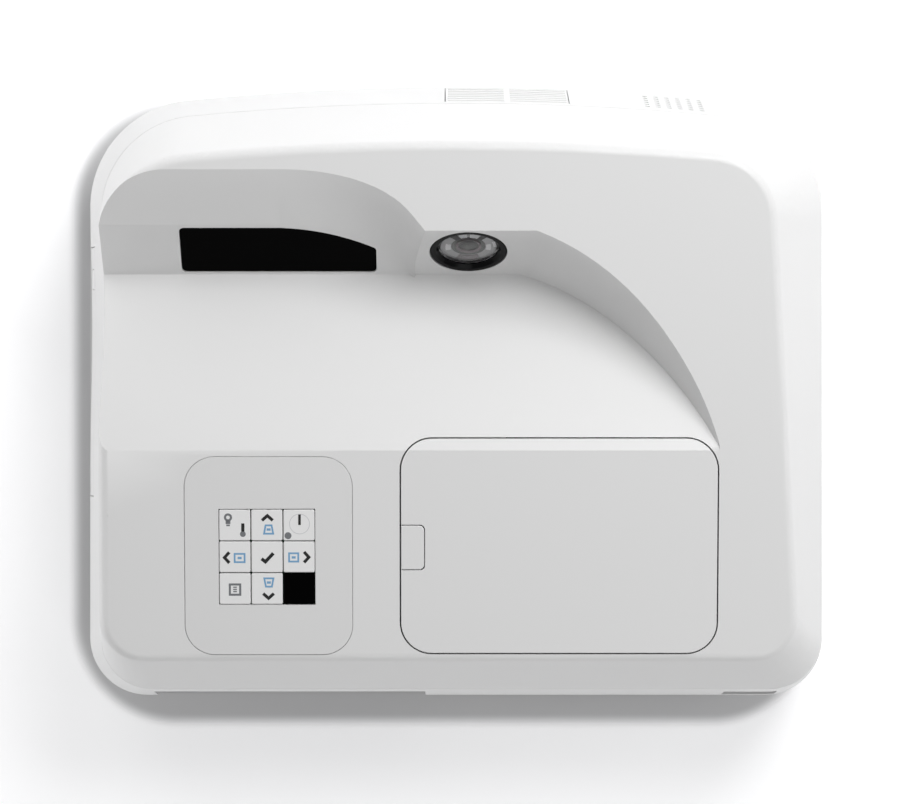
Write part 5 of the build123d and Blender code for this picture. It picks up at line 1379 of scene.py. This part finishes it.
# ---------------------------------------------------------------- the disc drive
@dataclass
class DiscDrive:
    """The tray with its pads, the turntable, the laser's lens and the eject button.

    Attributes:
        disc_x: Middle of the disc in the row frame, in mm, as is disc_y.
        disc_y: See disc_x.
        recess_z: Height on which the disc's rim would lie.
        lens_x: Middle of the laser's lens.
    """

    disc_x: float = -122.0
    disc_y: float = 10.0
    recess_z: float = 36.8
    lens_x: float = -96.5

    def tray(self) -> None:
        """Lays the low rings and the soft pads in the tray's recess."""
        ring = Draft()
        ring.stroke(arc_of(40.6, 27, 333, 72), 0.9, -0.02, 0.3)
        ring.stroke(arc_of(59.6, 2, 358, 96), 0.7, -0.02, 0.25)
        place = upright(self.disc_x, self.disc_y, self.recess_z)
        ring.finished("tray_rings", place, [MATT_BLACK], "disc_tray", Slot.PLASTIC, smooth=30)
        pads = Draft()
        for turn in (45, 135, 225, 315):
            pads.prism(arc_of(57.6, turn - 5, turn + 5, 6) + arc_of(55.0, turn + 5, turn - 5, 6), -0.02, 0.5)
        pads.finished("tray_pads", place, [RUBBER], "disc_tray", Slot.RUBBER)

    def turntable(self) -> None:
        """Puts the soft ring, the three sprung claws and the centre cap on the hub."""
        place = upright(self.disc_x, self.disc_y, self.recess_z)
        soft = Draft()
        profile = [(10.6, -0.35), (14.1, -0.35), (14.1, -0.1), (13.8, 0.0), (10.9, 0.0), (10.6, -0.1)]
        soft.turned(0, 0, profile)
        soft.finished("turntable_ring", place, [RUBBER], "spindle_hub", Slot.RUBBER, smooth=40)
        metal = Draft()
        metal.turned(0, 0, [(0.0, 1.58), (3.1, 1.58), (3.1, 1.72), (2.8, 1.85), (0.0, 1.85)])
        for turn in (90, 210, 330):
            middle = math.radians(turn)
            metal.disc(6.3 * math.cos(middle), 6.3 * math.sin(middle), 1.15, 0.5, 1.0, 0, 20)
        metal.finished("hub_claws", place, [STEEL], "spindle_hub", Slot.STEEL, smooth=40)

    def laser(self) -> None:
        """Sets the lens in its holder on the sled."""
        place = upright(self.lens_x, self.disc_y, self.recess_z - 0.5)
        holder = Draft()
        holder.turned(0, 0, [(2.0, -0.02), (2.9, -0.02), (2.9, 0.16), (2.6, 0.26), (2.0, 0.2)])
        holder.finished("laser_holder", place, [STEEL], "laser_sled", Slot.STEEL, smooth=40)
        lens = Draft()
        lens.turned(0, 0, [(0.0, -0.02), (1.98, -0.02), (1.9, 0.1), (1.3, 0.3), (0.6, 0.38), (0.0, 0.4)])
        lens.finished("laser_lens", place, [LASER_GLASS], "laser_sled", Slot.CAMERA, smooth=60)

    def build(self, frame: dict) -> None:
        """Builds the drive's dressing.
        """
        for node, finish in (
            ("disc_tray", MATT_BLACK),
            ("spindle_hub", DARK_GREY),
            ("laser_sled", DARK_GREY),
        ):
            refine(frame, node, finish, edge_mm=0.25)
        dress(frame, {"drive_chassis": ZINC, "drive_cover": ZINC, "sled_rods": STEEL})
        refine(frame, "eject_button", KEY_ABS, edge_mm=0.3)
        self.tray()
        self.turntable()
        self.laser()
        LOG.info("disc drive: tray, turntable, laser")


# ---------------------------------------------------------------- lamp and optics
@dataclass
class Optics:
    """The lamp in its bay, the light engine, the colour wheel, the lens and the mirror.

    Attributes:
        ribs: Tree of a ring of ribs.
        axis_y: Depth of the light's path through wheel and lamp in the row frame, in mm.
        axis_z: Its height.
        wheel_x: Middle of the colour wheel.
        wheel_y: See wheel_x.
        screws: Middles of the lamp's two screws.
        screw_top: Height of their heads' top.
    """

    ribs: Maker
    axis_y: float = -84.0
    axis_z: float = 62.0
    wheel_x: float = 4.0
    wheel_y: float = -104.0
    screws: tuple[Spot, ...] = ((48.0, -108.0), (94.0, -60.0))
    screw_top: float = 86.4

    def burner(self) -> None:
        """Stands the quartz burner and its ceramic base in the reflector."""
        place = facing(80.0, self.axis_y, self.axis_z, (-1, 0, 0), (0, 1, 0))
        base = Draft()
        base.turned(0, 0, [(0.0, -1.5), (4.4, -1.5), (4.4, 5.0), (3.6, 6.0), (0.0, 6.0)])
        base.finished("lamp_base", place, [CERAMIC], "projector", Slot.PLASTIC, smooth=30)
        tube = Draft()
        outline = [(0.0, 5.9), (2.2, 5.9), (2.2, 11.0), (4.4, 13.5), (5.0, 16.0), (4.4, 18.5), (2.2, 21.0)]
        tube.turned(0, 0, outline + [(2.2, 29.0), (1.4, 30.5), (0.0, 30.8)])
        tube.finished("lamp_burner", place, [QUARTZ], "projector", Slot.CAMERA, smooth=50)

    def lamp_screws(self) -> None:
        """Puts the two cross-slotted screws on the lamp."""
        top = self.screw_top
        heads, slots = Draft(), Draft()
        for x, y in self.screws:
            heads.turned(x, y, [(0.0, 83.9), (4.2, 83.9), (4.2, 85.8), (3.6, top), (0.0, top)])
            slots.slab(x - 2.6, x + 2.6, y - 0.45, y + 0.45, top, top + 0.03)
            slots.slab(x - 0.45, x + 0.45, y - 2.6, y + 2.6, top, top + 0.04)
        heads.finished("lamp_screws", upright(0, 0, 0), [ZINC], "projector", Slot.ZINC, smooth=30)
        slots.finished("lamp_screw_slots", upright(0, 0, 0), [MATT_BLACK], "projector", Slot.PLASTIC)

    def wheel(self) -> None:
        """Lays the coloured segments on the wheel's face, which is turned towards the lamp."""
        place = facing(self.wheel_x + 0.6, self.wheel_y, self.axis_z, (1, 0, 0), (0, 1, 0))
        segments = Draft()
        for tint, (start, end) in enumerate(((0, 110), (112, 200), (202, 305), (307, 358))):
            sector = arc_of(21.7, start, end, 20) + arc_of(11.5, end, start, 20)
            segments.prism(sector, 0.02, 0.08, tint)
        segments.finished("wheel_segments", place, WHEEL_GLASS, "colour_wheel", Slot.WHEEL)

    def engine_screws(self) -> None:
        """Puts six screws round the light engine's lid."""
        heads = Draft()
        profile = [(0.0, 79.9), (2.6, 79.9), (2.6, 81.2), (2.1, 81.6), (0.0, 81.6)]
        for x in (-120.0, -73.0, -26.0):
            for y in (-114.0, -48.0):
                heads.turned(x, y, profile, 0, 32)
        heads.finished("engine_screws", upright(0, 0, 0), [ZINC], "projector", Slot.ZINC, smooth=30)

    def lens_front(self) -> None:
        """Closes the projection lens with its front element."""
        glass = Draft()
        glass.turned(0, 0, [(0.0, -0.5), (11.6, -0.5), (11.6, 0.2), (8.0, 1.0), (4.0, 1.45), (0.0, 1.6)])
        place = facing(-90.0, 34.0, self.axis_z, (0, 1, 0), (-1, 0, 0))
        glass.finished("lens_front", place, [LASER_GLASS], "projector", Slot.CAMERA, smooth=60)

    def build(self, frame: dict) -> None:
        """Dresses lamp and optics.
        """
        refine(frame, "lamp_module", DARK_GREY, edge_mm=0.5)
        refine(frame, "projection_lens", BLACK_METAL, edge_mm=0.3)
        refine(frame, "focus_ring", MATT_BLACK, edge_mm=0.3)
        plain = {
            "lamp_bay": ZINC,
            "lamp_reflector": MIRROR,
            "light_engine": CAST_ALUMINIUM,
            "engine_heat_sink": CAST_ALUMINIUM,
            "colour_wheel": DICHROIC,
            "wheel_motor": ZINC,
            "concave_mirror": MIRROR,
            "mirror_frame": ZINC,
        }
        dress(frame, plain)
        self.burner()
        self.lamp_screws()
        self.wheel()
        self.engine_screws()
        self.lens_front()
        grip = {"Radius": 16.6, "Count": 44, "Rib": (0.7, 1.1, 10.4)}
        place = facing(-90.0, -8.0, self.axis_z, (0, 1, 0), (-1, 0, 0))
        self.ribs.make("focus_ring_grip", grip, place, MATT_BLACK, "focus_ring", Slot.PLASTIC)
        LOG.info("lamp and optics")


# ---------------------------------------------------------------- boards, fans, speaker and feet
@dataclass(frozen=True)
class Sprinkle:
    """Small parts scattered over a board.

    Attributes:
        name: The piece's name.
        middle: Middle of the field, on the board's face, in mm.
        field_size: Width and depth of the field.
        part: Length, width and height of one part.
        spacing: Least distance between two parts.
        seed: Seed of the scatter.
        finish: The parts' finish.
    """

    name: str
    middle: Point
    field_size: Spot
    part: Point
    spacing: float
    seed: int
    finish: Finish


@dataclass
class Internals:
    """The boards, the fans, the speaker and the feet.

    Attributes:
        ribs: Tree of a ring of ribs.
        chips_from: Height over which a board's own parts begin, in mm.
        sprinkles: The small parts scattered over the boards.
        feet: Name and middle of each foot.
    """

    ribs: Maker
    chips_from: float = 25.7
    sprinkles: tuple[Sprinkle, ...] = (
        Sprinkle("main_board_chips", (-88, -97, 25.6), (126, 48), (4.0, 3.0, 1.2), 9.0, 3, CHIP_EPOXY),
        Sprinkle("main_board_capacitors", (-88, -97, 25.6), (130, 52), (1.6, 0.8, 0.9), 3.6, 8, CERAMIC_CHIP),
        Sprinkle("supply_resistors", (87, 39, 25.6), (112, 78), (6.0, 2.2, 2.4), 10.0, 5, CERAMIC_CHIP),
        Sprinkle("ballast_parts", (75, -20, 25.6), (88, 16), (3.0, 1.8, 1.6), 6.0, 2, CHIP_EPOXY),
    )
    feet: tuple[tuple[str, float, float], ...] = (
        ("foot_front_left", -152.0, -122.0),
        ("foot_front_right", 152.0, -122.0),
        ("foot_rear_left", -152.0, 112.0),
        ("foot_rear_right", 152.0, 112.0),
    )

    def boards(self, frame: dict) -> None:
        """Finishes the boards and scatters their small parts.
        """
        parts = Upper(CHIP_EPOXY, self.chips_from)
        for node in ("main_board", "power_supply", "ballast"):
            refine(frame, node, SOLDER_MASK, edge_mm=0.15, upper=parts)
        scatter = scatter_maker()
        for small in self.sprinkles:
            sizes = {
                "Width": small.field_size[0],
                "Depth": small.field_size[1],
                "Spacing": small.spacing,
                "Part": small.part,
                "Seed": small.seed,
            }
            x, y, z = small.middle
            place = upright(x, y, z + small.part[2] / 2)
            scatter.make(small.name, sizes, place, small.finish, "projector", Slot.BOARD)

    def speaker(self) -> None:
        """Fits the speaker's surround, cone and dust cap."""
        place = facing(112.0, 136.0, 48.0, (0, 1, 0), (-1, 0, 0))
        surround = Draft()
        surround.turned(0, 0, [(16.2, -1.48), (18.6, -1.48), (18.2, -0.8), (17.4, -0.5), (16.6, -0.8)])
        surround.finished("speaker_surround", place, [RUBBER], "projector", Slot.RUBBER, smooth=60)
        cone = Draft()
        cone.turned(0, 0, [(5.0, -5.95), (16.1, -1.5), (16.1, -1.35), (5.0, -5.8)])
        cone.turned(0, 0, [(0.0, -4.4), (5.0, -4.4), (4.4, -3.4), (3.0, -2.7), (1.5, -2.4), (0.0, -2.3)])
        cone.finished("speaker_cone", place, [PAPER_CONE], "projector", Slot.PLASTIC, smooth=60)

    def build(self, frame: dict) -> None:
        """Dresses the boards, fans, speaker and feet.
        """
        self.boards(frame)
        self.speaker()
        plain = {
            "exhaust_fan": MATT_BLACK,
            "intake_fan": MATT_BLACK,
            "exhaust_impeller": DARK_GREY,
            "intake_impeller": DARK_GREY,
            "dust_filter": FOAM,
            "speaker": MATT_BLACK,
        }
        dress(frame, plain)
        grip = {"Radius": 12.0, "Count": 36, "Rib": (0.6, 0.9, 3.0)}
        for foot, x, y in self.feet:
            refine(frame, foot, RUBBER, edge_mm=0.3)
            self.ribs.make(f"{foot}_ribs", grip, upright(x, y, 5.8), RUBBER, foot, Slot.RUBBER)
        LOG.info("boards, fans, speaker and feet")


# ---------------------------------------------------------------- studio
@dataclass(frozen=True)
class Softbox:
    """A soft light that faces the object, in metres and watts.

    Attributes:
        name: Its name.
        spot: Its place.
        size: Its width.
        size_y: Its height.
        power: Its power.
    """

    name: str
    spot: Point
    size: float
    size_y: float
    power: float


@dataclass
class Studio:
    """A pale floor, soft lights and the photograph's camera.

    Attributes:
        height: The camera's height over the floor, in metres.
        aim: Point under the camera, in metres.
        picture_width: What the picture's width takes in at the floor, in metres.
        sensor_mm: Width of the camera's sensor.
        sky: Strength of the even light from all round.
        floor_mm: Half the floor's width.
        floor_wall: Its thickness in mm.
        lights: The soft lights.
    """

    height: float = 1.8
    aim: Spot = (-0.0035, -0.0058)
    picture_width: float = 0.4774
    sensor_mm: float = 36.0
    sky: float = 0.4
    floor_mm: float = 3000.0
    floor_wall: float = 20.0
    lights: tuple[Softbox, ...] = (
        Softbox("key_rear_right", (0.49, 0.84, 1.0), 0.7, 0.7, 12.0),
        Softbox("softbox_rear_low", (-0.9, 1.9, 0.75), 1.3, 1.3, 8.6),
        Softbox("softbox_right", (1.6, 0.2, 0.8), 1.0, 1.0, 4.2),
        Softbox("fill_front", (0.4, -1.2, 1.5), 1.2, 1.2, 4.7),
        Softbox("strip_left_low", (-0.8, 0.0, 0.07), 1.0, 0.07, 1.7),
        Softbox("strip_front_low", (0.0, -0.8, 0.05), 1.0, 0.05, 0.5),
    )

    def floor(self) -> None:
        """Lays the pale floor, with its painted shadow and painted glow."""
        sheet = Draft()
        sheet.slab(-self.floor_mm, self.floor_mm, -self.floor_mm, self.floor_mm, -self.floor_wall, 0)
        mesh = bpy.data.meshes.new("studio_floor")
        mesh.from_pydata([Vector(v) * MM for v in sheet.verts], [], sheet.faces)
        # The paper carries a painted contact shadow and a painted glow round the object.
        paper = Backdrop("studio_paper_painted_shadow", "f4f4f5", 0.9)
        mesh.materials.append(paper.material())
        obj = stand("studio_floor", mesh)

    def light(self, box: Softbox) -> None:
        """Hangs a soft light.

        Args:
            box: The light.
        """
        lamp = bpy.data.lights.new(box.name, "AREA")
        lamp.shape = "RECTANGLE"
        lamp.size = box.size
        lamp.size_y = box.size_y
        lamp.energy = box.power
        obj = stand(box.name, lamp)
        obj.location = box.spot
        obj.rotation_euler = (-Vector(box.spot)).to_track_quat("-Z", "Y").to_euler()

    def camera(self) -> None:
        """Hangs the photograph's camera over the floor, looking straight down."""
        lens = bpy.data.cameras.new("photo_camera")
        lens.sensor_width = self.sensor_mm
        lens.lens = self.sensor_mm * self.height / self.picture_width
        camera = stand("photo_camera", lens)
        camera.location = (*self.aim, self.height)
        bpy.context.scene.camera = camera

    def build(self) -> None:
        """Builds the whole studio."""
        self.floor()
        for box in self.lights:
            self.light(box)
        world = bpy.data.worlds.new("studio_air")
        world.use_nodes = True
        air = world.node_tree.nodes["Background"]
        air.inputs["Color"].default_value = (1.0, 1.0, 1.0, 1.0)
        air.inputs["Strength"].default_value = self.sky
        bpy.context.scene.world = world
        bpy.context.scene.view_settings.view_transform = "Standard"
        self.camera()
        LOG.info("studio")


def main() -> None:
    """Builds the dressed projector in its studio."""
    logging.basicConfig(level=logging.INFO)
    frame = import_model()
    Case().build(frame)
    Keypad().build(frame)
    Eyes().build(frame)
    ConnectorBay().build(frame)
    DiscDrive().build(frame)
    ribs = rib_ring_maker()
    Optics(ribs).build(frame)
    Internals(ribs).build(frame)
    Studio().build()


if __name__ == "__main__":
    main()
